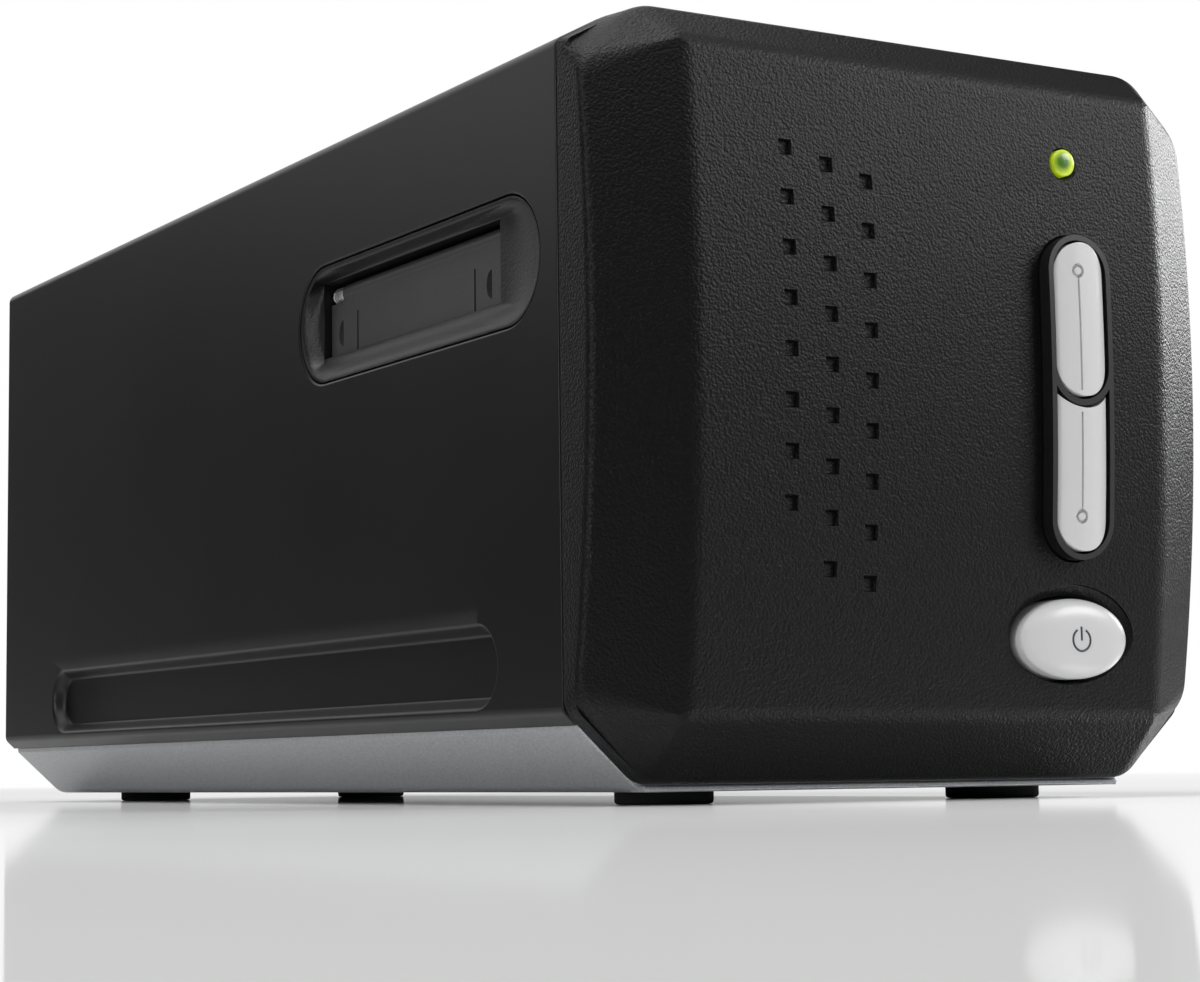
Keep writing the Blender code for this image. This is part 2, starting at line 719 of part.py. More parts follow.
def make_dimple_tool():
    """One cutter with a square peg at every dimple."""
    bm = bmesh.new()
    half = DIMPLE_SIZE / 2
    for x, z in dimple_places():
        deep = face_y(z) + DIMPLE_DEPTH
        near = face_y(z) - DIMPLE_DEPTH
        corners = [(x - half, z - half), (x + half, z - half), (x + half, z + half), (x - half, z + half)]
        rings = [[bm.verts.new((a, y, b)) for a, b in corners] for y in (near, deep)]
        for i in range(len(corners)):
            j = (i + 1) % len(corners)
            bm.faces.new((rings[0][i], rings[0][j], rings[1][j], rings[1][i]))
        bm.faces.new(rings[0])
        bm.faces.new(rings[1])
    return new_object("dimple_pegs", bm)


def oval(width, height, steps=ROUND_STEPS):
    """An ellipse around the power button's centre."""
    return [(CONTROL_X + width / 2 * x, POWER_Z + height / 2 * z) for x, z in circle(0, 0, 1, steps)]


def control_outline(margin=0.0):
    """The upright outline of the two-button surround, grown by a margin."""
    length = SURROUND_HIGH - SURROUND_LOW + 2 * margin
    middle = (SURROUND_HIGH + SURROUND_LOW) / 2
    return upright(stadium(middle, CONTROL_X, length, SURROUND_WIDTH + 2 * margin))


def make_front_bezel():
    """The bowed black front, hollow, with its holes and the posts for the switch board."""
    back = SEAM_Y - SEAM_GAP / 2
    bezel = bezel_form("front_bezel", 0.0, back, "black_bezel")
    inner = bezel_form("bezel_hollow", BEZEL_WALL, back + OVERRUN)
    cut(bezel, inner)
    for x, z in post_places():
        join(bezel, rod("board_post", "Y", (x, z), BOARD_POST_RADIUS, face_y(z) + BEZEL_WALL / 2,
                        SWITCH_BOARD_Y - JOINT_GAP, steps=SMALL_ROUND_STEPS))
    through = face_y(POWER_Z) + BEZEL_WALL + OVERRUN
    surround_hole = prism("surround_hole", "Y", control_outline(JOINT_GAP), FRONT_Y - OVERRUN, through)
    rings = []
    growth = (0.0, 0.0, WELL_MARGIN, WELL_MARGIN)
    deep = face_y(POWER_Z) + BEZEL_WALL * WELL_SHARE
    near = face_y(POWER_Z) - POWER_SINK
    for grow, y in zip(growth, (through, deep, near, near - OVERRUN)):
        span = 2 * (RUNNING_GAP + grow)
        rings.append([Vector((x, y, z)) for x, z in oval(POWER_WIDTH + span, POWER_HEIGHT + span)])
    power_hole = loft("power_hole", rings)
    lamp_hole = rod("lamp_hole", "Y", (CONTROL_X, LAMP_Z), LAMP_RADIUS + JOINT_GAP, FRONT_Y - OVERRUN,
                    through)
    cut(bezel, surround_hole, power_hole, lamp_hole, make_dimple_tool())
    return bezel


def post_places():
    """Centres of the bezel's posts at the corners of the switch board."""
    reach = SWITCH_BOARD_WIDTH / 2 - BOARD_POST_INSET
    heights = (SWITCH_BOARD_LOW + BOARD_POST_INSET, SWITCH_BOARD_HIGH - BOARD_POST_INSET)
    return [(CONTROL_X - reach, z) for z in heights] + [(CONTROL_X + reach, heights[1])]


def bow_block(name, half, low, high, back, proud, material=None):
    """A block whose front follows the bowed face, that far proud of it."""
    front = [(face_y(z, proud), z) for z in np.linspace(low, high, BOW_ROWS)]
    outline = [(back, high), (back, low)] + front
    return prism(name, "X", outline, CONTROL_X - half, CONTROL_X + half, material)


def make_button_surround():
    """The glossy ring round both scan buttons, with the arched bridge between them."""
    inner_wall = FRONT_Y + BEZEL_WALL
    half = SURROUND_WIDTH / 2
    back = inner_wall + SURROUND_FLANGE
    ring = bow_block("button_surround", half + OVERRUN, SURROUND_LOW - OVERRUN, SURROUND_HIGH + OVERRUN,
                     back, SURROUND_PROUD, "gloss_black")
    keep_inside(ring, prism("ring_outline", "Y", control_outline(), FRONT_Y - 2 * OVERRUN, back + OVERRUN))
    for name, outline in (("upper_bore", upper_button_outline(BUTTON_GAP)),
                          ("lower_bore", lower_button_outline(BUTTON_GAP))):
        cut(ring, prism(name, "Y", outline, FRONT_Y - 2 * OVERRUN, back + 2 * OVERRUN))
    soften(ring, SURROUND_ROUND)
    return ring


def button_half():
    """Half the width of a scan button."""
    return SURROUND_WIDTH / 2 - SURROUND_WALL - BUTTON_GAP


def upper_button_outline(margin=0.0):
    """The upper scan button: round at both ends."""
    high = SURROUND_HIGH - SURROUND_WALL - BUTTON_GAP
    low = UPPER_BUTTON_LOW
    return upright(stadium((high + low) / 2, CONTROL_X, high - low + 2 * margin,
                           2 * (button_half() + margin)))


def lower_button_outline(margin=0.0):
    """The lower scan button: round below, and hollowed above to follow the upper one."""
    radius = button_half() + margin
    low_centre = SURROUND_LOW + SURROUND_WALL + BUTTON_GAP + button_half()
    bottom = arc(CONTROL_X, low_centre, radius, math.pi, 2 * math.pi, SMALL_ROUND_STEPS)
    arch_centre = UPPER_BUTTON_LOW + button_half()
    arch_radius = button_half() + 2 * BUTTON_GAP + BRIDGE_WALL - margin
    reach = math.acos(radius / arch_radius)
    arch = arc(CONTROL_X, arch_centre, arch_radius, 2 * math.pi - reach, math.pi + reach, SMALL_ROUND_STEPS)
    return bottom + arch


def make_scan_button(name, outline, low, high, stem_z):
    """A satin button with a crowned front and a stem towards its switch."""
    back = FRONT_Y + BUTTON_DEPTH
    proud = SURROUND_PROUD + BUTTON_PROUD
    button = bow_block(name, button_half() + OVERRUN, low - OVERRUN, high + OVERRUN, back, proud,
                       "satin_silver")
    keep_inside(button, prism("button_outline", "Y", outline, FRONT_Y - 2 * OVERRUN, back + OVERRUN))
    soften(button, BUTTON_ROUND, 3)
    join(button, rod("button_stem", "Y", (CONTROL_X, stem_z), STEM_RADIUS, back - BEZEL_WALL / 2,
                     plunger_y() - BUTTON_TRAVEL - JOINT_GAP, steps=SMALL_ROUND_STEPS))
    set_origin(button, (CONTROL_X, face_y(stem_z), stem_z))
    return button


def plunger_y():
    """Front end of a switch plunger."""
    return SWITCH_BOARD_Y - JOINT_GAP - SWITCH_BODY_HEIGHT - PLUNGER_REACH


def make_power_button():
    """The oval power button, crowned, with a stem towards its switch."""
    edge = face_y(POWER_Z) - POWER_SINK
    back = face_y(POWER_Z) + POWER_DEPTH
    rings = [[Vector((x, back, z)) for x, z in oval(POWER_WIDTH, POWER_HEIGHT)]]
    for turn in np.linspace(0, math.pi / 2, 7)[:-1]:
        share = math.cos(turn) ** POWER_CROWN_SHARE
        y = edge - POWER_CROWN * math.sin(turn)
        rings.append([Vector((x, y, z)) for x, z in oval(POWER_WIDTH * share, POWER_HEIGHT * share)])
    button = loft("power_button", rings, "satin_silver")
    join(button, rod("power_stem", "Y", (CONTROL_X, POWER_Z), STEM_RADIUS, back - BEZEL_WALL / 2,
                     plunger_y() - POWER_TRAVEL - JOINT_GAP, steps=SMALL_ROUND_STEPS))
    set_origin(button, (CONTROL_X, face_y(POWER_Z), POWER_Z))
    return button


def make_led_lens():
    """The green pilot lamp: a light pipe with a crowned end."""
    rings = []
    base = SWITCH_BOARD_Y - JOINT_GAP
    front = face_y(LAMP_Z) - LAMP_PROUD
    profile = [(1.0, base), (1.0, front)]
    for turn in np.linspace(0, math.pi / 2, 5)[1:-1]:
        profile.append((math.cos(turn), front - LAMP_CROWN * math.sin(turn)))
    for share, y in profile:
        ring = circle(CONTROL_X, LAMP_Z, LAMP_RADIUS * share, SMALL_ROUND_STEPS)
        rings.append([Vector((x, y, z)) for x, z in ring])
    return loft("led_lens", rings, "lamp_green")


def mouth_outline(margin, steps=SMALL_ROUND_STEPS):
    """The film mouth drawn with as many points as the slot's stadium."""
    half_length = MOUTH_LENGTH / 2 + margin
    half_height = MOUTH_HEIGHT / 2 + margin
    points = []
    for start, side in ((-math.pi / 2, 1), (math.pi / 2, -1)):
        for turn in np.linspace(start, start + math.pi, steps + 1):
            across = min(1.0, abs(math.cos(turn)) * MOUTH_END_SHARE)
            up = max(-1.0, min(1.0, math.sin(turn) * MOUTH_SIDE_SHARE))
            points.append((MOUTH_Y + side * across * half_length, MOUTH_Z + up * half_height))
    return points


def make_slot_surround(side):
    """The round-ended insert of a film slot: a dished front that funnels into the film mouth."""
    name = "slot_surround_left" if side < 0 else "slot_surround_right"
    outer = side * (HALF_WIDTH - JOINT_GAP)
    back = side * (HALF_WIDTH - SLOT_BLOCK_DEPTH)
    insert = prism(name, "X", slot_outline(-JOINT_GAP), outer, back, "black_bezel")
    lip = side * HALF_WIDTH
    deep = side * (HALF_WIDTH - SCOOP_DEPTH)
    rise = OVERRUN * SLOT_RIM / SCOOP_DEPTH
    dish = loft("slot_dish", rings_along_x(
        (slot_outline(rise), slot_outline(-SLOT_RIM - JOINT_GAP), mouth_outline(0.0)),
        (lip + side * OVERRUN, lip, deep)))
    mouth = block("slot_mouth", (min(lip + side * OVERRUN, back - side * OVERRUN), MOUTH_FRONT, MOUTH_LOW),
                  (max(lip + side * OVERRUN, back - side * OVERRUN), MOUTH_REAR, MOUTH_HIGH))
    pin_hole = rod("pin_seat", "Y", (side * DOOR_X, DOOR_PIVOT_Z), DOOR_PIN_RADIUS + JOINT_GAP,
                   MOUTH_FRONT - DOOR_PIN_SEAT - JOINT_GAP, MOUTH_REAR + DOOR_PIN_SEAT + JOINT_GAP,
                   steps=SMALL_ROUND_STEPS)
    cut(insert, dish, mouth, pin_hole)
    return insert


def make_door(side):
    """A dust door that hangs from its pin in the film mouth."""
    label = "left" if side < 0 else "right"
    x = side * DOOR_X
    front = MOUTH_FRONT + RUNNING_GAP
    rear = MOUTH_REAR - RUNNING_GAP
    half = DOOR_THICKNESS / 2
    door = block(f"dust_door_{label}", (x - half, front, MOUTH_LOW + RUNNING_GAP),
                 (x + half, rear, DOOR_PIVOT_Z),
                 "dark_plastic")
    barrel = rod("door_barrel", "Y", (x, DOOR_PIVOT_Z), DOOR_BARREL_RADIUS, front, rear - SPRING_LENGTH,
                 steps=SMALL_ROUND_STEPS)
    join(door, barrel)
    bore = rod("door_bore", "Y", (x, DOOR_PIVOT_Z), DOOR_PIN_RADIUS + JOINT_GAP, front - OVERRUN,
               rear + OVERRUN,
               steps=SMALL_ROUND_STEPS)
    coil_radius = DOOR_PIN_RADIUS + JOINT_GAP + 2 * SPRING_WIRE_RADIUS + JOINT_GAP
    room = rod("spring_room", "Y", (x, DOOR_PIVOT_Z), coil_radius + JOINT_GAP, rear - SPRING_LENGTH,
               rear + OVERRUN,
               steps=SMALL_ROUND_STEPS)
    cut(door, bore, room)
    outer = x + side * half
    floor = outer - side * DOOR_NOTCH_DEPTH
    low, high = sorted((floor, outer + side * OVERRUN))
    for y in (front + DOOR_NOTCH_INSET, rear - DOOR_NOTCH_INSET):
        notch = arc(y, MOUTH_LOW + DOOR_NOTCH_RISE, DOOR_NOTCH_RADIUS, -math.pi / 2, math.pi / 2,
                    SMALL_ROUND_STEPS)
        cut(door, prism("half_moon", "X", notch, low, high))
    for y in (front + DOOR_SLIT_INSET, rear - DOOR_SLIT_INSET):
        cut(door, block("door_slit", (low, y - DOOR_SLIT_WIDTH / 2, MOUTH_LOW - OVERRUN),
                        (high, y + DOOR_SLIT_WIDTH / 2, MOUTH_LOW + DOOR_SLIT_HEIGHT)))
    set_origin(door, (x, MOUTH_Y, DOOR_PIVOT_Z))
    return door


def make_door_pin(side):
    """The steel pin that a dust door turns on."""
    label = "left" if side < 0 else "right"
    return rod(f"door_pin_{label}", "Y", (side * DOOR_X, DOOR_PIVOT_Z), DOOR_PIN_RADIUS,
               MOUTH_FRONT - DOOR_PIN_SEAT, MOUTH_REAR + DOOR_PIN_SEAT, "steel", SMALL_ROUND_STEPS)


def make_door_spring(side):
    """The small torsion spring round the rear end of a door pin, one unbroken wire."""
    label = "left" if side < 0 else "right"
    x = side * DOOR_X
    coil = DOOR_PIN_RADIUS + JOINT_GAP + SPRING_WIRE_RADIUS
    start = MOUTH_REAR - RUNNING_GAP - SPRING_LENGTH + SPRING_WIRE_RADIUS + JOINT_GAP
    length = SPRING_LENGTH - 2 * SPRING_WIRE_RADIUS - JOINT_GAP
    points = []
    steps = SPRING_TURNS * SPRING_STEPS
    for i in range(steps + 1):
        turn = 2 * math.pi * i / SPRING_STEPS
        y = start + length * i / steps
        points.append((x - side * coil * math.cos(turn), y, DOOR_PIVOT_Z + coil * math.sin(turn)))
    last = points[-1]
    points.append((last[0], last[1], last[2] - SPRING_LEG / 2))
    curve = bpy.data.curves.new(f"door_spring_{label}", "CURVE")
    curve.dimensions = "3D"
    curve.bevel_depth = SPRING_WIRE_RADIUS
    curve.bevel_resolution = 1
    curve.use_fill_caps = True
    spline = curve.splines.new("POLY")
    spline.points.add(len(points) - 1)
    for target, point in zip(spline.points, points):
        target.co = (*point, 1.0)
    spring = bpy.data.objects.new(f"door_spring_{label}", curve)
    bpy.context.collection.objects.link(spring)
    curve.materials.append(finish("steel"))
    return spring


def make_rear_panel():
    """The flat rear plate inside the shell's end, with its two socket windows."""
    wall = SHELL_WALL + JOINT_GAP
    cover_side = offset_path(shell_path(), -wall)
    base_side = offset_path(base_path(), -wall)
    outline = cover_side[1:-1] + base_side[1:-1]
    near = REAR_Y - REAR_PANEL_SINK
    panel = prism("rear_panel", "Y", outline, near - REAR_PANEL_THICKNESS, near, "black_shell")
    board_top = MAIN_BOARD_Z + BOARD_THICKNESS + JOINT_GAP
    usb = block("usb_window", (-SOCKET_X - USB_WIDTH / 2 - JOINT_GAP, near - OVERRUN, board_top - JOINT_GAP),
                (USB_WIDTH / 2 + JOINT_GAP - SOCKET_X, near + OVERRUN, board_top + USB_HEIGHT + JOINT_GAP))
    jack = block("jack_window", (SOCKET_X - JACK_SIZE / 2 - JOINT_GAP, near - OVERRUN, board_top - JOINT_GAP),
                 (SOCKET_X + JACK_SIZE / 2 + JOINT_GAP, near + OVERRUN, board_top + JACK_SIZE + JOINT_GAP))
    cut(panel, usb, jack)
    return panel


def make_feet():
    """Four rubber discs in their seats."""
    names = ("foot_front_left", "foot_front_right", "foot_rear_left", "foot_rear_right")
    top = FLOOR_CLEARANCE + FOOT_SEAT - JOINT_GAP
    for name, (x, y) in zip(names, foot_places()):
        foot = rod(name, "Z", (x, y), FOOT_RADIUS, 0.0, top, "rubber")
        soften(foot, FOOT_SEAT / 3)


def make_base_screws():
    """Four pan-head screws up through the base into the chassis."""
    names = ("base_screw_front_left", "base_screw_front_right", "base_screw_rear_left",
             "base_screw_rear_right")
    low = screw_head_low()
    for name, (x, y) in zip(names, screw_places()):
        screw = rod(name, "Z", (x, y), SCREW_HEAD_RADIUS, low, low + SCREW_HEAD_HEIGHT, "steel",
                    SMALL_ROUND_STEPS)
        join(screw, rod("shank", "Z", (x, y), SCREW_SHANK_RADIUS, low + SCREW_HEAD_HEIGHT / 2,
                        CHASSIS_LOW + CHASSIS_WALL + SCREW_GRIP, steps=SMALL_ROUND_STEPS))


def make_chassis():
    """The open steel-sheet tub that carries the track, the rods and the drive."""
    half = CHASSIS_HALF
    tub = block("chassis_frame", (-half, CHASSIS_FRONT, CHASSIS_LOW), (half, CHASSIS_REAR, CHASSIS_HIGH),
                "steel")
    wall = CHASSIS_WALL
    hollow = block("tub_hollow", (-half + wall, CHASSIS_FRONT + wall, CHASSIS_LOW + wall),
                   (half - wall, CHASSIS_REAR - wall, CHASSIS_HIGH + OVERRUN))
    cut(tub, hollow)
    for x, z, radius in ((-GUIDE_X, GUIDE_ROD_Z, GUIDE_ROD_RADIUS),
                         (GUIDE_X, GUIDE_RAIL_Z, GUIDE_RAIL_RADIUS)):
        cut(tub, rod("rod_hole", "Y", (x, z), radius + JOINT_GAP, CHASSIS_FRONT - OVERRUN,
                     CHASSIS_FRONT + OVERRUN,
                     steps=SMALL_ROUND_STEPS),
            rod("rod_hole", "Y", (x, z), radius + JOINT_GAP, CHASSIS_REAR - OVERRUN, CHASSIS_REAR + OVERRUN,
                steps=SMALL_ROUND_STEPS))
    for x, y in screw_places():
        cut(tub, rod("chassis_hole", "Z", (x, y), SCREW_SHANK_RADIUS + JOINT_GAP, CHASSIS_LOW - OVERRUN,
                     CHASSIS_LOW + OVERRUN, steps=SMALL_ROUND_STEPS))
    return tub


def make_guides():
    """The main guide rod and the second rail."""
    low = CHASSIS_FRONT
    high = CHASSIS_REAR
    rod("guide_rod", "Y", (-GUIDE_X, GUIDE_ROD_Z), GUIDE_ROD_RADIUS, low, high, "steel", SMALL_ROUND_STEPS)
    rod("guide_rail", "Y", (GUIDE_X, GUIDE_RAIL_Z), GUIDE_RAIL_RADIUS, low, high, "steel", SMALL_ROUND_STEPS)


def track_span():
    """Half length of the film track, up to the slot surrounds."""
    return HALF_WIDTH - SLOT_BLOCK_DEPTH - TRACK_END_GAP


def make_film_track():
    """The channel that the film holder slides through, with the scanning window in its floor."""
    half = track_span()
    floor_top = MOUTH_LOW - TRACK_STEP
    low = CHASSIS_HIGH + JOINT_GAP
    high = MOUTH_HIGH + TRACK_STEP
    front = MOUTH_FRONT - TRACK_STEP - TRACK_WALL
    rear = MOUTH_REAR + TRACK_STEP + TRACK_WALL
    track = block("film_track", (-half, front, low), (half, rear, high), "dark_plastic")
    channel = block("holder_channel", (-half - OVERRUN, front + TRACK_WALL, floor_top),
                    (half + OVERRUN, rear - TRACK_WALL, high + OVERRUN))
    window_half = half - WINDOW_INSET
    window = block("scan_window", (-window_half, MOUTH_Y - WINDOW_WIDTH / 2, low - OVERRUN),
                   (window_half, MOUTH_Y + WINDOW_WIDTH / 2, floor_top + OVERRUN))
    cut(track, channel, window)
    return track


def make_lamp_unit():
    """The lamp box over the track, its board of lamps and the diffuser under them."""
    half = track_span() - LAMP_BOX_INSET
    low = MOUTH_HIGH + TRACK_STEP + JOINT_GAP
    high = BODY_HEIGHT - SHELL_WALL - LAMP_BOX_TOP_GAP
    front = MOUTH_FRONT - TRACK_STEP - TRACK_WALL
    rear = MOUTH_REAR + TRACK_STEP + TRACK_WALL
    wall = LAMP_BOX_WALL
    box = block("lamp_housing", (-half, front, low), (half, rear, high), "dark_plastic")
    ledge = LAMP_LEDGE
    lower = block("light_mouth", (-half + wall + ledge, front + wall + ledge, low - OVERRUN),
                  (half - wall - ledge, rear - wall - ledge, low + wall + OVERRUN))
    upper = block("lamp_room", (-half + wall, front + wall, low + wall),
                  (half - wall, rear - wall, high - wall))
    cut(box, upper, lower)
    gap = JOINT_GAP
    block("diffuser", (-half + wall + gap, front + wall + gap, low + wall + gap),
          (half - wall - gap, rear - wall - gap, low + wall + gap + DIFFUSER_THICKNESS), "white_plastic")
    board = high - LAMP_BOARD_DROP
    block("lamp_board", (-half + wall + gap, front + wall + gap, board),
          (half - wall - gap, rear - wall - gap, board + BOARD_THICKNESS), "board_green")


def make_carriage():
    """The optical box that slides under the film, with its ears, and what it carries."""
    half = CARRIAGE_HALF
    wall = CARRIAGE_WALL
    body = block("scan_carriage", (-half, CARRIAGE_FRONT, CARRIAGE_LOW), (half, CARRIAGE_REAR, CARRIAGE_HIGH),
                 "dark_plastic")
    gap = JOINT_GAP
    lens_rear = LENS_Y + LENS_LENGTH
    bulkhead = LENS_LENGTH / 4
    fore = block("mirror_room", (-half + wall, CARRIAGE_FRONT + wall, CARRIAGE_LOW + wall),
                 (half - wall, LENS_Y + bulkhead, CARRIAGE_HIGH - wall))
    aft = block("sensor_room", (-half + wall, lens_rear - bulkhead, CARRIAGE_LOW + wall),
                (half - wall, CARRIAGE_REAR + OVERRUN, CARRIAGE_HIGH - wall))
    slit_half = half - SLIT_INSET
    slit = block("light_slit", (-slit_half, SLIT_Y - SLIT_WIDTH / 2, CARRIAGE_HIGH - wall - OVERRUN),
                 (slit_half, SLIT_Y + SLIT_WIDTH / 2, CARRIAGE_HIGH + OVERRUN))
    lens_bore = rod("lens_bore", "Y", (0.0, LENS_Z), LENS_RADIUS + gap, LENS_Y, lens_rear)
    cut(body, fore, aft, slit, lens_bore)
    bush_radius = GUIDE_ROD_RADIUS + BUSH_CLEARANCE + BUSH_WALL
    bushes = []
    for label, y in (("front", CARRIAGE_FRONT), ("rear", CARRIAGE_REAR - BUSH_LENGTH)):
        ear_radius = bush_radius + gap + EAR_WALL
        ear = block("bush_ear", (-GUIDE_X - ear_radius, y, GUIDE_ROD_Z - ear_radius),
                    (-half + wall / 2, y + BUSH_LENGTH, GUIDE_ROD_Z + ear_radius))
        join(body, ear)
        cut(body, rod("bush_bore", "Y", (-GUIDE_X, GUIDE_ROD_Z), bush_radius + gap, y - OVERRUN,
                      y + BUSH_LENGTH + OVERRUN, steps=SMALL_ROUND_STEPS))
        bush = rod(f"carriage_bush_{label}", "Y", (-GUIDE_X, GUIDE_ROD_Z), bush_radius, y, y + BUSH_LENGTH,
                   "bronze",
                   SMALL_ROUND_STEPS)
        cut(bush, rod("rod_bore", "Y", (-GUIDE_X, GUIDE_ROD_Z), GUIDE_ROD_RADIUS + BUSH_CLEARANCE,
                      y - OVERRUN,
                      y + BUSH_LENGTH + OVERRUN, steps=SMALL_ROUND_STEPS))
        bushes.append(bush)
    reach = GUIDE_X + GUIDE_RAIL_RADIUS
    middle = (CARRIAGE_FRONT + CARRIAGE_REAR) / 2
    fork_half = GUIDE_RAIL_RADIUS + gap + EAR_WALL
    fork = block("rail_fork", (half - wall / 2, middle - BUSH_LENGTH / 2, GUIDE_RAIL_Z - fork_half),
                 (reach, middle + BUSH_LENGTH / 2, GUIDE_RAIL_Z + fork_half))
    groove = block("fork_groove", (half + wall, middle - BUSH_LENGTH, GUIDE_RAIL_Z - GUIDE_RAIL_RADIUS - gap),
                   (reach + OVERRUN, middle + BUSH_LENGTH, GUIDE_RAIL_Z + GUIDE_RAIL_RADIUS + gap))
    join(body, fork)
    cut(body, groove)
    lens = rod("lens_barrel", "Y", (0.0, LENS_Z), LENS_RADIUS, LENS_Y, lens_rear, "steel")
    for low, high in ((LENS_Y - OVERRUN, LENS_Y + LENS_GLASS_SINK),
                      (lens_rear - LENS_GLASS_SINK, lens_rear + OVERRUN)):
        cut(lens, rod("lens_front", "Y", (0.0, LENS_Z), LENS_RADIUS * GLASS_SHARE, low, high))
    mirror = make_mirror(half - wall - gap)
    margin = SENSOR_BOARD_MARGIN
    sensor = block("sensor_board", (-half + margin, CARRIAGE_REAR + gap, CARRIAGE_LOW + margin),
                   (half - margin, CARRIAGE_REAR + gap + BOARD_THICKNESS, CARRIAGE_HIGH - margin),
                   "board_green")
    clip = make_belt_clip(half)
    motion_empty("carriage_slide", (0.0, SLIT_Y, LENS_Z), [body, lens, mirror, sensor, clip, *bushes])


def make_mirror(half):
    """The flat mirror that turns the light from the film towards the lens."""
    reach = MIRROR_LENGTH / 2 * math.sqrt(0.5)
    step = MIRROR_THICKNESS * math.sqrt(0.5)
    outline = [(SLIT_Y - reach, LENS_Z + reach), (SLIT_Y + reach, LENS_Z - reach),
               (SLIT_Y + reach - step, LENS_Z - reach - step), (SLIT_Y - reach - step, LENS_Z + reach - step)]
    return prism("mirror", "X", outline, -half, half, "mirror")


def make_belt_clip(carriage_half):
    """The clip on the carriage's side that takes the upper run of the belt."""
    run = BELT_Z + PULLEY_RADIUS + JOINT_GAP
    inner = carriage_half + JOINT_GAP
    outer = BELT_X + BELT_WIDTH / 2 + JOINT_GAP + CLIP_WALL
    low = run - JOINT_GAP - CLIP_WALL
    high = run + BELT_THICKNESS + JOINT_GAP + CLIP_WALL
    clip = block("belt_clip", (inner, CLIP_Y - CLIP_LENGTH / 2, low), (outer, CLIP_Y + CLIP_LENGTH / 2, high),
                 "dark_plastic")
    cut(clip, block("belt_way", (BELT_X - BELT_WIDTH / 2 - JOINT_GAP, CLIP_Y - CLIP_LENGTH, run - JOINT_GAP),
                    (BELT_X + BELT_WIDTH / 2 + JOINT_GAP, CLIP_Y + CLIP_LENGTH,
                     run + BELT_THICKNESS + JOINT_GAP)))
    return clip


def involute_gear(teeth, centre_y, centre_z):
    """Outline of a spur gear with involute flanks, thinned by the backlash."""
    pitch = GEAR_MODULE * teeth / 2
    pressure = math.radians(20)
    base = pitch * math.cos(pressure)
    tip = pitch + GEAR_MODULE
    root = pitch - ROOT_SHARE * GEAR_MODULE
    half_tooth = math.pi / (2 * teeth) - BACKLASH / (2 * pitch)
    spread = math.tan(pressure) - pressure

    def flank(radius):
        angle = math.acos(min(base / radius, 1.0))
        return half_tooth + spread - (math.tan(angle) - angle)

    start = max(base, root)
    radii = np.linspace(start, tip, FLANK_POINTS)
    outline = []
    for tooth in range(teeth):
        middle = 2 * math.pi * (tooth + 0.5) / teeth + (0.0 if teeth == GEAR_TEETH else math.pi / teeth)
        up = [(root, middle - flank(start))] if start > root else []
        up += [(radius, middle - flank(radius)) for radius in radii]
        down = [(radius, 2 * middle - angle) for radius, angle in reversed(up)]
        for radius, angle in up + down:
            outline.append((centre_y + radius * math.cos(angle), centre_z + radius * math.sin(angle)))
    return outline


def make_pulley(name, y, material):
    """A flanged belt pulley on the X axis."""
    low = BELT_X - BELT_WIDTH / 2 - JOINT_GAP
    high = BELT_X + BELT_WIDTH / 2 + JOINT_GAP
    pulley = rod(name, "X", (y, BELT_Z), PULLEY_RADIUS, low - PULLEY_FLANGE_WIDTH,
                 high + PULLEY_FLANGE_WIDTH, material)
    radius = PULLEY_RADIUS + PULLEY_FLANGE
    join(pulley, rod("inner_flange", "X", (y, BELT_Z), radius, low - PULLEY_FLANGE_WIDTH, low),
         rod("outer_flange", "X", (y, BELT_Z), radius, high, high + PULLEY_FLANGE_WIDTH))
    return pulley


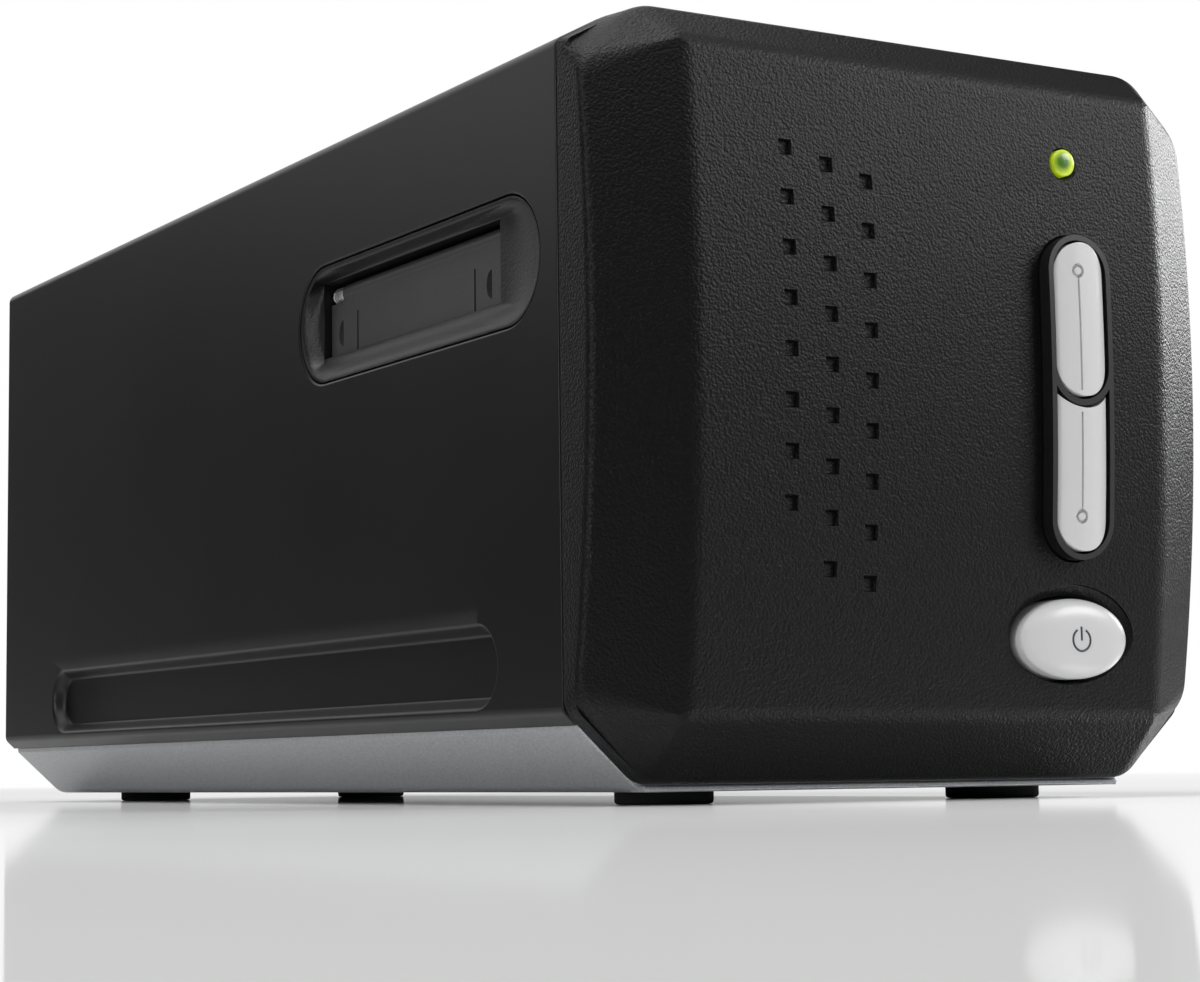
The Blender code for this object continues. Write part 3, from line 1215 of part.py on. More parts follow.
def make_drive():
    """The belt, both pulleys, the gear pair, the motor and what carries them."""
    pulley_low = BELT_X - BELT_WIDTH / 2 - JOINT_GAP - PULLEY_FLANGE_WIDTH
    pulley_high = BELT_X + BELT_WIDTH / 2 + JOINT_GAP + PULLEY_FLANGE_WIDTH
    gear = make_pulley("reduction_gear", GEAR_Y, "white_plastic")
    join(gear, prism("gear_wheel", "X", involute_gear(GEAR_TEETH, GEAR_Y, BELT_Z), GEAR_X,
                     GEAR_X + GEAR_WIDTH),
         rod("gear_hub", "X", (GEAR_Y, BELT_Z), PULLEY_RADIUS, GEAR_X + GEAR_WIDTH / 2, pulley_high))
    bore = AXLE_RADIUS + BUSH_CLEARANCE
    cut(gear, rod("gear_bore", "X", (GEAR_Y, BELT_Z), bore, GEAR_X - OVERRUN, pulley_high + OVERRUN,
                  steps=SMALL_ROUND_STEPS))
    set_origin(gear, (BELT_X, GEAR_Y, BELT_Z))

    idler = make_pulley("idler_pulley", IDLER_Y, "white_plastic")
    cut(idler, rod("idler_bore", "X", (IDLER_Y, BELT_Z), bore, pulley_low - OVERRUN, pulley_high + OVERRUN,
                   steps=SMALL_ROUND_STEPS))
    set_origin(idler, (BELT_X, IDLER_Y, BELT_Z))

    plate_high = MOTOR_PLATE_X + MOTOR_PLATE_THICKNESS
    tub_wall = CHASSIS_HALF - CHASSIS_WALL
    rod("gear_axle", "X", (GEAR_Y, BELT_Z), AXLE_RADIUS, MOTOR_PLATE_X, tub_wall - JOINT_GAP, "steel",
        SMALL_ROUND_STEPS)

    floor = CHASSIS_LOW + CHASSIS_WALL + JOINT_GAP
    plate_top = BELT_Z + MOTOR_RADIUS
    front = MOTOR_PLATE_FRONT
    rear = PINION_Y + MOTOR_RADIUS
    plate = block("motor_plate", (MOTOR_PLATE_X, front, floor), (plate_high, rear, plate_top), "steel")
    join(plate, block("plate_foot", (MOTOR_PLATE_X - MOTOR_PLATE_NOSE, front, floor),
                      (MOTOR_PLATE_X + MOTOR_PLATE_THICKNESS / 2, rear, floor + MOTOR_PLATE_THICKNESS)))
    cut(plate, rod("axle_seat", "X", (GEAR_Y, BELT_Z), AXLE_RADIUS + JOINT_GAP, MOTOR_PLATE_X - OVERRUN,
                   plate_high + OVERRUN, steps=SMALL_ROUND_STEPS),
        rod("shaft_window", "X", (PINION_Y, BELT_Z), PINION_RADIUS, MOTOR_PLATE_X - OVERRUN,
            plate_high + OVERRUN,
            steps=SMALL_ROUND_STEPS))
    for x, y in screw_places():
        cut(plate, rod("screw_relief", "Z", (x, y), SCREW_HEAD_RADIUS, floor - OVERRUN, floor + OVERRUN,
                       steps=SMALL_ROUND_STEPS))

    motor_high = MOTOR_PLATE_X - JOINT_GAP
    motor = rod("drive_motor", "X", (PINION_Y, BELT_Z), MOTOR_RADIUS, motor_high - MOTOR_LENGTH, motor_high,
                "steel")
    soften(motor, MOTOR_SHAFT_RADIUS)
    join(motor, rod("motor_boss", "X", (PINION_Y, BELT_Z), PINION_RADIUS - JOINT_GAP, motor_high - OVERRUN,
                    plate_high, steps=SMALL_ROUND_STEPS),
         rod("motor_shaft", "X", (PINION_Y, BELT_Z), MOTOR_SHAFT_RADIUS, motor_high, GEAR_X + GEAR_WIDTH,
             steps=SMALL_ROUND_STEPS))

    pinion = prism("motor_pinion", "X", involute_gear(PINION_TEETH, PINION_Y, BELT_Z), GEAR_X,
                   GEAR_X + GEAR_WIDTH,
                   "bronze")
    cut(pinion, rod("pinion_bore", "X", (PINION_Y, BELT_Z), MOTOR_SHAFT_RADIUS + BUSH_CLEARANCE,
                    GEAR_X - OVERRUN,
                    GEAR_X + GEAR_WIDTH + OVERRUN, steps=SMALL_ROUND_STEPS))
    set_origin(pinion, (GEAR_X, PINION_Y, BELT_Z))

    make_idler_mount(pulley_low, pulley_high)
    make_belt()


def make_idler_mount(pulley_low, pulley_high):
    """The fork at the front that holds the idler's axle."""
    wall = CHASSIS_WALL
    inner = pulley_low - JOINT_GAP
    outer = pulley_high + JOINT_GAP
    front = CHASSIS_FRONT + wall + JOINT_GAP
    rear = IDLER_Y + 2 * AXLE_RADIUS
    tub_wall = CHASSIS_HALF - wall - JOINT_GAP
    low = BELT_Z - PULLEY_RADIUS - PULLEY_FLANGE
    high = BELT_Z + PULLEY_RADIUS + PULLEY_FLANGE
    bracket = block("idler_bracket", (inner - wall, front, low), (tub_wall, rear, high), "steel")
    room = block("pulley_room", (inner, IDLER_Y - PULLEY_RADIUS - PULLEY_FLANGE - JOINT_GAP, low - OVERRUN),
                 (outer, rear + OVERRUN, high + OVERRUN))
    cut(bracket, room, rod("idler_axle_hole", "X", (IDLER_Y, BELT_Z), AXLE_RADIUS + JOINT_GAP,
                           inner - wall - OVERRUN,
                           tub_wall + OVERRUN, steps=SMALL_ROUND_STEPS))
    rod("idler_axle", "X", (IDLER_Y, BELT_Z), AXLE_RADIUS, inner - wall, tub_wall, "steel", SMALL_ROUND_STEPS)


def make_belt():
    """The closed belt round both pulleys."""
    middle = (GEAR_Y + IDLER_Y) / 2
    span = GEAR_Y - IDLER_Y
    inner = 2 * (PULLEY_RADIUS + JOINT_GAP)
    outer = inner + 2 * BELT_THICKNESS
    low = BELT_X - BELT_WIDTH / 2
    high = BELT_X + BELT_WIDTH / 2
    belt = prism("drive_belt", "X", stadium(middle, BELT_Z, span + outer, outer), low, high, "belt_black")
    cut(belt, prism("belt_inside", "X", stadium(middle, BELT_Z, span + inner, inner), low - OVERRUN,
                    high + OVERRUN))
    return belt


def make_main_board():
    """The main board on the chassis, with the two sockets at its rear edge."""
    rear = REAR_Y - REAR_PANEL_SINK - REAR_PANEL_THICKNESS - JOINT_GAP
    half = CHASSIS_HALF - MAIN_BOARD_SIDE_INSET
    front = MOUTH_REAR + TRACK_STEP + TRACK_WALL + MAIN_BOARD_FRONT_GAP
    block("main_board", (-half, front, MAIN_BOARD_Z), (half, rear, MAIN_BOARD_Z + BOARD_THICKNESS),
          "board_green")
    floor = MAIN_BOARD_Z + BOARD_THICKNESS + JOINT_GAP
    mouth = REAR_Y - REAR_PANEL_SINK
    usb = block("usb_socket", (-SOCKET_X - USB_WIDTH / 2, mouth - USB_DEPTH, floor),
                (USB_WIDTH / 2 - SOCKET_X, mouth, floor + USB_HEIGHT), "steel")
    middle = floor + USB_HEIGHT / 2
    cavity = block("usb_cavity", (-SOCKET_X - USB_MOUTH_WIDTH / 2, mouth - SOCKET_MOUTH_DEPTH,
                                  middle - USB_MOUTH_HEIGHT / 2),
                   (USB_MOUTH_WIDTH / 2 - SOCKET_X, mouth + OVERRUN, middle + USB_MOUTH_HEIGHT / 2))
    cut(usb, cavity)
    tongue = block("usb_tongue", (-SOCKET_X - USB_TONGUE, mouth - SOCKET_MOUTH_DEPTH - JOINT_GAP,
                                  middle - USB_TONGUE / 2),
                   (USB_TONGUE - SOCKET_X, mouth - USB_TONGUE / 2, middle + USB_TONGUE / 2))
    join(usb, tongue)
    jack = block("power_jack", (SOCKET_X - JACK_SIZE / 2, mouth - JACK_DEPTH, floor),
                 (SOCKET_X + JACK_SIZE / 2, mouth, floor + JACK_SIZE), "dark_plastic")
    centre = (SOCKET_X, floor + JACK_SIZE / 2)
    cut(jack, rod("jack_bore", "Y", centre, JACK_BORE_RADIUS, mouth - SOCKET_MOUTH_DEPTH, mouth + OVERRUN))
    join(jack, rod("jack_pin", "Y", centre, JACK_PIN_RADIUS, mouth - SOCKET_MOUTH_DEPTH - JOINT_GAP,
                   mouth - USB_TONGUE / 2, steps=SMALL_ROUND_STEPS))


def make_switch_board():
    """The board behind the bezel with a push switch behind each button."""
    half = SWITCH_BOARD_WIDTH / 2
    block("switch_board", (CONTROL_X - half, SWITCH_BOARD_Y, SWITCH_BOARD_LOW),
          (CONTROL_X + half, SWITCH_BOARD_Y + BOARD_THICKNESS, SWITCH_BOARD_HIGH), "board_green")
    back = SWITCH_BOARD_Y - JOINT_GAP
    front = back - SWITCH_BODY_HEIGHT
    size = SWITCH_SIZE / 2
    for name, z in (("switch_upper", upper_stem_z()), ("switch_lower", lower_stem_z()),
                    ("switch_power", POWER_Z)):
        switch = block(name, (CONTROL_X - size, front, z - size), (CONTROL_X + size, back, z + size),
                       "dark_plastic")
        join(switch, rod("plunger", "Y", (CONTROL_X, z), PLUNGER_RADIUS, front - PLUNGER_REACH,
                         front + SWITCH_BODY_HEIGHT / 2, steps=SMALL_ROUND_STEPS))


def upper_stem_z():
    """Height of the upper scan button's stem."""
    return UPPER_BUTTON_LOW + (SURROUND_HIGH - UPPER_BUTTON_LOW) / 2


def lower_stem_z():
    """Height of the lower scan button's stem."""
    return SURROUND_LOW + (UPPER_BUTTON_LOW - SURROUND_LOW) / 2


def main():
    """Build the whole scanner."""
    clear_scene()
    make_top_cover()
    make_base_tray()
    make_front_bezel()
    make_rear_panel()
    make_button_surround()
    make_scan_button("scan_button_upper", upper_button_outline(), UPPER_BUTTON_LOW, SURROUND_HIGH,
                     upper_stem_z())
    make_scan_button("scan_button_lower", lower_button_outline(), SURROUND_LOW, UPPER_BUTTON_LOW,
                     lower_stem_z())
    make_power_button()
    make_led_lens()
    for side in (-1, 1):
        make_slot_surround(side)
        make_door(side)
        make_door_pin(side)
        make_door_spring(side)
    make_feet()
    make_base_screws()
    make_chassis()
    make_guides()
    make_film_track()
    make_lamp_unit()
    make_carriage()
    make_drive()
    make_main_board()
    make_switch_board()


main()
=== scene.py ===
"""Looks of the desktop film negative scanner: finished housing, controls, film slots and studio.

Lengths in the classes are millimetres and are turned into metres when a mesh is made. The frame is the
packed one: +Z up, the front faces -Y, and the origin is on the table under the middle of the object.
"""

import json
import logging
import math
from dataclasses import dataclass, field
from enum import Enum
from typing import Callable, Iterable, Sequence

import bmesh
import bpy
import numpy as np
from mathutils import Matrix, Vector


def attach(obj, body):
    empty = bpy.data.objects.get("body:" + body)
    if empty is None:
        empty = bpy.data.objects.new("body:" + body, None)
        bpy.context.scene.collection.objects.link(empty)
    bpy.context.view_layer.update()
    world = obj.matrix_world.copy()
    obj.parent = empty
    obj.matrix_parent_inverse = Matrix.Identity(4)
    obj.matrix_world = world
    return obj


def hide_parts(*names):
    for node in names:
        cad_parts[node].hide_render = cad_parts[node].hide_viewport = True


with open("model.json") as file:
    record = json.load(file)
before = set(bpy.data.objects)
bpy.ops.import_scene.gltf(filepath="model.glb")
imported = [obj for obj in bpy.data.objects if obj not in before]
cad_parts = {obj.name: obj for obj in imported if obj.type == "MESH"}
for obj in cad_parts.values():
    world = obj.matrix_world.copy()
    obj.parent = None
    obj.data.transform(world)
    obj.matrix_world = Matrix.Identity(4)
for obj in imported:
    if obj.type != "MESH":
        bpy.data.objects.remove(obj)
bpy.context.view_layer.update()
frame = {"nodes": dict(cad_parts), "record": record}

MM = 0.001
LOG = logging.getLogger("scanner")
Outline = np.ndarray
Rings = np.ndarray
Bow = Callable[[np.ndarray | float], np.ndarray | float]


class Side(Enum):
    """A side of the housing, as the sign of its X direction."""

    LEFT = -1
    RIGHT = 1

    @property
    def label(self) -> str:
        """The side's name in lower case.

        Returns:
            left or right.
        """
        return self.name.lower()


class Operation(Enum):
    """What a Boolean does with its tool."""

    CUT = "DIFFERENCE"
    FUSE = "UNION"
    KEEP = "INTERSECT"


# Meshes


def make_object(name: str, points: np.ndarray, faces: Sequence[Sequence[int]],
                sharp: float = 32.0) -> bpy.types.Object:
    """Make a smooth mesh object from points in millimetres.

    Args:
        name: The object's name.
        points: An (n, 3) array.
        faces: Corner numbers of every face.
        sharp: Edges that turn by more degrees than this stay sharp.

    Returns:
        The linked object, with doubled points merged and its normals turned outward.
    """
    mesh = bpy.data.meshes.new(name)
    mesh.from_pydata((np.asarray(points, float) * MM).tolist(), [], [list(map(int, f)) for f in faces])
    bm = bmesh.new()
    bm.from_mesh(mesh)
    bmesh.ops.remove_doubles(bm, verts=bm.verts, dist=1e-6)
    bmesh.ops.dissolve_degenerate(bm, edges=bm.edges, dist=1e-7)
    bmesh.ops.recalc_face_normals(bm, faces=bm.faces)
    bm.to_mesh(mesh)
    bm.free()
    mesh.shade_smooth()
    mesh.set_sharp_from_angle(angle=math.radians(sharp))
    item = bpy.data.objects.new(name, mesh)
    bpy.context.scene.collection.objects.link(item)
    return item


def grid_faces(rows: int, columns: int, closed: bool = False, start: int = 0) -> np.ndarray:
    """Corner numbers of the quads of a grid of points numbered row by row.

    Args:
        rows: Number of rows.
        columns: Number of columns.
        closed: Whether the last column joins the first.
        start: Number of the first point.

    Returns:
        An (m, 4) array of corner numbers.
    """
    wide = columns if closed else columns - 1
    r, c = np.meshgrid(np.arange(rows - 1), np.arange(wide), indexing="ij")
    after = (c + 1) % columns
    quads = np.stack([r * columns + c, r * columns + after, (r + 1) * columns + after,
                      (r + 1) * columns + c], -1)
    return quads.reshape(-1, 4) + start


def loft(name: str, rings: Rings) -> bpy.types.Object:
    """Join closed rings of equal length side by side and cap both ends.

    Args:
        name: The object's name.
        rings: A (rings, points, 3) array.

    Returns:
        The closed object.
    """
    rings = np.asarray(rings, float)
    count, size = rings.shape[:2]
    faces = grid_faces(count, size, closed=True).tolist()
    faces += [list(range(size)), list(range((count - 1) * size, count * size))]
    return make_object(name, rings.reshape(-1, 3), faces)


def lift(outline: Outline, axis: str, height: float) -> np.ndarray:
    """Put a flat outline at a height along an axis.

    Args:
        outline: An (n, 2) array of the two other coordinates, in XYZ order.
        axis: X, Y or Z.
        height: Place along the axis.

    Returns:
        An (n, 3) array.
    """
    return np.insert(np.asarray(outline, float), "XYZ".index(axis), height, axis=1)


def prism(name: str, axis: str, outline: Outline, low: float, high: float) -> bpy.types.Object:
    """Extrude a flat outline along an axis.

    Args:
        name: The object's name.
        axis: X, Y or Z.
        outline: The outline's other two coordinates.
        low: Place of the first end.
        high: Place of the second end.

    Returns:
        The closed object.
    """
    return loft(name, np.stack([lift(outline, axis, low), lift(outline, axis, high)]))


def block(name: str, low: Sequence[float], high: Sequence[float]) -> bpy.types.Object:
    """A rectangular block between two corners, used as a blank or a tool.

    Args:
        name: The object's name.
        low: The corner with the lowest coordinates.
        high: The corner with the highest coordinates.

    Returns:
        The closed block.
    """
    corners = np.array([(low[0], low[1]), (high[0], low[1]), (high[0], high[1]), (low[0], high[1])])
    return prism(name, "Z", corners, low[2], high[2])


def circle(a: float, b: float, radius: float, steps: int = 64) -> Outline:
    """Points round a circle: (a + r cos t, b + r sin t).

    Args:
        a: First coordinate of the centre.
        b: Second coordinate of the centre.
        radius: Radius r.
        steps: Number of points.

    Returns:
        The outline's points.
    """
    t = np.linspace(0, 2 * np.pi, steps, endpoint=False)
    return np.c_[a + radius * np.cos(t), b + radius * np.sin(t)]


def stadium(a: float, b: float, length: float, height: float, steps: int = 28) -> Outline:
    """A bar along the first coordinate with a half round of radius height / 2 at each end.

    Args:
        a: First coordinate of the centre.
        b: Second coordinate of the centre.
        length: Whole length.
        height: Whole height.
        steps: Steps in each half round.

    Returns:
        The outline's points.
    """
    radius, reach = height / 2, (length - height) / 2
    t = np.linspace(-np.pi / 2, np.pi / 2, steps + 1)
    right = np.c_[a + reach + radius * np.cos(t), b + radius * np.sin(t)]
    left = np.c_[a - reach - radius * np.cos(t), b - radius * np.sin(t)]
    return np.vstack([right, left])


def soft_corner(before: np.ndarray, tip: np.ndarray, after: np.ndarray, setback: float,
                steps: int) -> np.ndarray:
    """A corner rounded by the curve (1-t)^2 A + 2t(1-t) T + t^2 B.

    Args:
        before: A point on the side that comes in.
        tip: The corner's tip T.
        after: A point on the side that goes out.
        setback: Distance of A and B from the tip.
        steps: Steps along the curve.

    Returns:
        The curve's points, ends included.
    """
    before, tip, after = (np.asarray(p, float) for p in (before, tip, after))
    a = tip + (before - tip) / np.linalg.norm(before - tip) * setback
    b = tip + (after - tip) / np.linalg.norm(after - tip) * setback
    t = np.linspace(0, 1, steps + 1)[:, None]
    return (1 - t) ** 2 * a + 2 * t * (1 - t) * tip + t**2 * b


def curve_through(a: np.ndarray, tip: np.ndarray, b: np.ndarray, steps: int) -> np.ndarray:
    """Round many corners at once, with the same curve as soft_corner.

    Args:
        a: (n, 3) start points.
        tip: (n, 3) tips.
        b: (n, 3) end points.
        steps: Steps along each curve.

    Returns:
        A (steps + 1, n, 3) array.
    """
    t = np.linspace(0, 1, steps + 1)[:, None, None]
    return (1 - t) ** 2 * a + 2 * t * (1 - t) * tip + t**2 * b


def outward(path: np.ndarray) -> np.ndarray:
    """Unit normals of an open section path, to the right of its direction.

    Args:
        path: An (n, 2) array.

    Returns:
        An (n, 2) array of unit normals.
    """
    run = np.gradient(path, axis=0)
    normal = np.c_[run[:, 1], -run[:, 0]]
    return normal / np.linalg.norm(normal, axis=1, keepdims=True)


def bake(item: bpy.types.Object) -> bpy.types.Object:
    """Turn the object's modifiers into its mesh.

    Args:
        item: The object.

    Returns:
        The same object with no modifier left.
    """
    shown = item.evaluated_get(bpy.context.evaluated_depsgraph_get())
    mesh = bpy.data.meshes.new_from_object(shown)
    item.modifiers.clear()
    item.data = mesh
    return item


def combine(item: bpy.types.Object, operation: Operation, *tools: bpy.types.Object) -> bpy.types.Object:
    """Run Booleans with each tool and drop the tools.

    Args:
        item: The object that is changed.
        operation: What the tools do.
        tools: The closed tool objects.

    Returns:
        The changed object.
    """
    for tool in tools:
        modifier = item.modifiers.new(operation.name, "BOOLEAN")
        modifier.operation = operation.value
        modifier.solver = "EXACT"
        modifier.object = tool
    bake(item)
    for tool in tools:
        bpy.data.objects.remove(tool, do_unlink=True)
    return item


def thicken(item: bpy.types.Object, wall: float) -> bpy.types.Object:
    """Give an open surface a wall on its inner side.

    Args:
        item: The open surface.
        wall: Thickness in millimetres.

    Returns:
        The same object, closed.
    """
    modifier = item.modifiers.new("wall", "SOLIDIFY")
    modifier.thickness = wall * MM
    modifier.offset = -1.0
    modifier.use_even_offset = False
    return bake(item)


def soften(item: bpy.types.Object, width: float, segments: int = 3, angle: float = 32.0) -> bpy.types.Object:
    """Round the sharp edges of an object.

    Args:
        item: The object.
        width: Setback of the rounding in millimetres.
        segments: Segments across the rounding.
        angle: Edges that turn by more degrees than this are rounded.

    Returns:
        The same object.
    """
    modifier = item.modifiers.new("rounded_edges", "BEVEL")
    modifier.width = width * MM
    modifier.segments = segments
    modifier.limit_method = "ANGLE"
    modifier.angle_limit = math.radians(angle)
    modifier.use_clamp_overlap = True
    modifier.harden_normals = False
    return item


def even_shading(item: bpy.types.Object, angle: float = 34.0) -> bpy.types.Object:
    """Weigh the normals by face area, so that flat faces stay flat beside small roundings.

    Args:
        item: The object.
        angle: Edges that turn by more degrees than this stay sharp.

    Returns:
        The same object.
    """
    item.data.shade_smooth()
    item.data.set_sharp_from_angle(angle=math.radians(angle))
    modifier = item.modifiers.new("even_shading", "WEIGHTED_NORMAL")
    modifier.mode = "FACE_AREA"
    modifier.keep_sharp = True
    return item


# Finishes


class Graph:
    """A node tree that is filled by short calls."""

    def __init__(self, tree: bpy.types.NodeTree) -> None:
        """Keep the tree and empty it.

        Args:
            tree: The node tree.
        """
        self.tree = tree
        tree.nodes.clear()

    def node(self, kind: str, settings: dict | None = None, **values: object) -> bpy.types.Node:
        """Add a node.

        Args:
            kind: The node's type name.
            settings: Attributes of the node, such as its mode.
            values: Constants or output sockets for its inputs; an underscore stands for a space.

        Returns:
            The node.
        """
        made = self.tree.nodes.new(kind)
        for key, value in (settings or {}).items():
            setattr(made, key, value)
        for key, value in values.items():
            self.feed(made, int(key[1:]) if key[0] == "i" and key[1:].isdigit() else key.replace("_", " "),
                      value)
        return made

    def feed(self, node: bpy.types.Node, key: int | str, value: object) -> None:
        """Give an input a constant or link it to an output socket.

        Args:
            node: The node.
            key: Number or name of the input.
            value: The constant or the socket.
        """
        if isinstance(value, bpy.types.NodeSocket):
            self.tree.links.new(value, node.inputs[key])
        else:
            node.inputs[key].default_value = value

    def math(self, operation: str, first: object, second: object = 0.0) -> bpy.types.NodeSocket:
        """Add a Math node.

        Args:
            operation: Its operation.
            first: The first value or socket.
            second: The second value or socket.

        Returns:
            Its output.
        """
        return self.node("ShaderNodeMath", {"operation": operation}, i0=first, i1=second).outputs[0]

    def mix(self, share: object, first: object, second: object) -> bpy.types.NodeSocket:
        """Mix two colours by a share.

        Args:
            share: The second colour's share.
            first: The first colour or socket.
            second: The second colour or socket.

        Returns:
            The result's socket.
        """
        made = self.node("ShaderNodeMix", {"data_type": "RGBA"})
        for key, value in ((0, share), (6, first), (7, second)):
            self.feed(made, key, value)
        return made.outputs[2]


def new_material(name: str) -> tuple[bpy.types.Material, Graph]:
    """Make an empty node material.

    Args:
        name: The material's name.

    Returns:
        The material and its emptied graph.
    """
    material = bpy.data.materials.new(name)
    material.use_nodes = True
    return material, Graph(material.node_tree)


def group(name: str, inputs: Iterable[tuple[str, float]], outputs: Iterable[tuple[str, str]],
          fill: Callable[[Graph, bpy.types.Node, bpy.types.Node], None]) -> bpy.types.NodeTree:
    """Make a shader node group.

    Args:
        name: The group's name.
        inputs: Names and defaults of its number inputs.
        outputs: Names and socket types of its outputs.
        fill: Fills the group, given the graph, the group's input node and its output node.

    Returns:
        The group's tree.
    """
    tree = bpy.data.node_groups.new(name, "ShaderNodeTree")
    for label, value in inputs:
        tree.interface.new_socket(label, in_out="INPUT", socket_type="NodeSocketFloat").default_value = value
    for label, kind in outputs:
        tree.interface.new_socket(label, in_out="OUTPUT", socket_type=kind)
    graph = Graph(tree)
    fill(graph, graph.node("NodeGroupInput"), graph.node("NodeGroupOutput"))
    return tree


def fill_grain(graph: Graph, given: bpy.types.Node, out: bpy.types.Node) -> None:
    """Pebble grain: rounded cells broken up by noise, as a normal and as a mask of the valleys.

    Args:
        graph: The group's graph.
        given: Its input node.
        out: Its output node.
    """
    place = graph.node("ShaderNodeTexCoord").outputs["Object"]
    drift = graph.node("ShaderNodeTexNoise", Vector=place, Scale=graph.math("MULTIPLY", given.outputs[0],
                                                                            0.8), Detail=2.0)
    shift = graph.node("ShaderNodeVectorMath", {"operation": "SCALE"}, i0=drift.outputs["Color"],
                       Scale=0.0004)
    moved = graph.node("ShaderNodeVectorMath", {"operation": "ADD"}, i0=place, i1=shift.outputs[0])
    cells = graph.node("ShaderNodeTexVoronoi", {"feature": "SMOOTH_F1"}, Vector=moved.outputs[0],
                       Scale=given.outputs[0],
                       Smoothness=0.6)
    fine = graph.node("ShaderNodeTexNoise", Vector=place, Scale=graph.math("MULTIPLY", given.outputs[0],
                                                                           2.1), Detail=4.0,
                      Roughness=0.6)
    height = graph.math("ADD", graph.math("MULTIPLY", cells.outputs["Distance"], -0.9),
                        graph.math("MULTIPLY", fine.outputs["Fac"], 0.45))
    bump = graph.node("ShaderNodeBump", Strength=given.outputs[1], Distance=given.outputs[2], Height=height)
    graph.feed(out, 0, bump.outputs[0])
    graph.feed(out, 1, graph.node("ShaderNodeClamp", Value=graph.math("MULTIPLY", cells.outputs["Distance"],
                                                                      1.3)).outputs[0])


def fill_dust(graph: Graph, given: bpy.types.Node, out: bpy.types.Node) -> None:
    """Handling: broad smudges and a few fine specks, as two masks.

    Args:
        graph: The group's graph.
        given: Its input node.
        out: Its output node.
    """
    place = graph.node("ShaderNodeTexCoord").outputs["Object"]
    broad = graph.node("ShaderNodeTexNoise", Vector=place, Scale=26.0, Detail=5.0, Roughness=0.62)
    smudge = graph.node("ShaderNodeMapRange", Value=broad.outputs["Fac"], i1=0.42, i2=0.72, i3=0.0, i4=1.0)
    speck = graph.node("ShaderNodeTexNoise", Vector=place, Scale=1900.0, Detail=2.0)
    dots = graph.node("ShaderNodeMapRange", Value=speck.outputs["Fac"], i1=0.70, i2=0.76, i3=0.0, i4=1.0)
    graph.feed(out, 0, graph.math("MULTIPLY", smudge.outputs[0], given.outputs[0]))
    graph.feed(out, 1, graph.math("MULTIPLY", dots.outputs[0], given.outputs[0]))


def fill_wear(graph: Graph, given: bpy.types.Node, out: bpy.types.Node) -> None:
    """Edge wear: where the bevelled normal leaves the true one, broken up by noise.

    Args:
        graph: The group's graph.
        given: Its input node.
        out: Its output node.
    """
    bevel = graph.node("ShaderNodeBevel", {"samples": 2}, Radius=given.outputs[1])
    true = graph.node("ShaderNodeNewGeometry").outputs["Normal"]
    dot = graph.node("ShaderNodeVectorMath", {"operation": "DOT_PRODUCT"}, i0=bevel.outputs[0], i1=true)
    turned = graph.math("SUBTRACT", 1.0, dot.outputs["Value"])
    edge = graph.node("ShaderNodeMapRange", Value=turned, i1=0.01, i2=0.18, i3=0.0, i4=1.0)
    place = graph.node("ShaderNodeTexCoord").outputs["Object"]
    patch = graph.node("ShaderNodeTexNoise", Vector=place, Scale=420.0, Detail=4.0)
    worn = graph.math("MULTIPLY", edge.outputs[0], patch.outputs["Fac"])
    graph.feed(out, 0, graph.math("MULTIPLY", worn, given.outputs[0]))


def fill_metal(graph: Graph, given: bpy.types.Node, out: bpy.types.Node) -> None:
    """Metallic paint: fine flakes as a value round one and a faint normal.

    Args:
        graph: The group's graph.
        given: Its input node.
        out: Its output node.
    """
    place = graph.node("ShaderNodeTexCoord").outputs["Object"]
    flake = graph.node("ShaderNodeTexNoise", Vector=place, Scale=given.outputs[0], Detail=3.0, Roughness=0.7)
    value = graph.node("ShaderNodeMapRange", Value=flake.outputs["Fac"], i1=0.3, i2=0.7, i3=0.86, i4=1.1)
    bump = graph.node("ShaderNodeBump", Strength=given.outputs[1], Distance=0.00004,
                      Height=flake.outputs["Fac"])
    graph.feed(out, 0, value.outputs[0])
    graph.feed(out, 1, bump.outputs[0])


GRAIN = group("pebble_grain", (("Scale", 1300.0), ("Strength", 0.5), ("Distance", 0.00008)),
              (("Normal", "NodeSocketVector"), ("Valley", "NodeSocketFloat")), fill_grain)
DUST = group("handling", (("Amount", 1.0),), (("Smudge", "NodeSocketFloat"), ("Specks", "NodeSocketFloat")),
             fill_dust)
WEAR = group("edge_wear", (("Amount", 1.0), ("Radius", 0.0004)), (("Worn", "NodeSocketFloat"),), fill_wear)
METAL = group("metal_flake", (("Scale", 5200.0), ("Strength", 0.2)),
              (("Value", "NodeSocketFloat"), ("Normal", "NodeSocketVector")), fill_metal)

Colour = tuple[float, float, float]


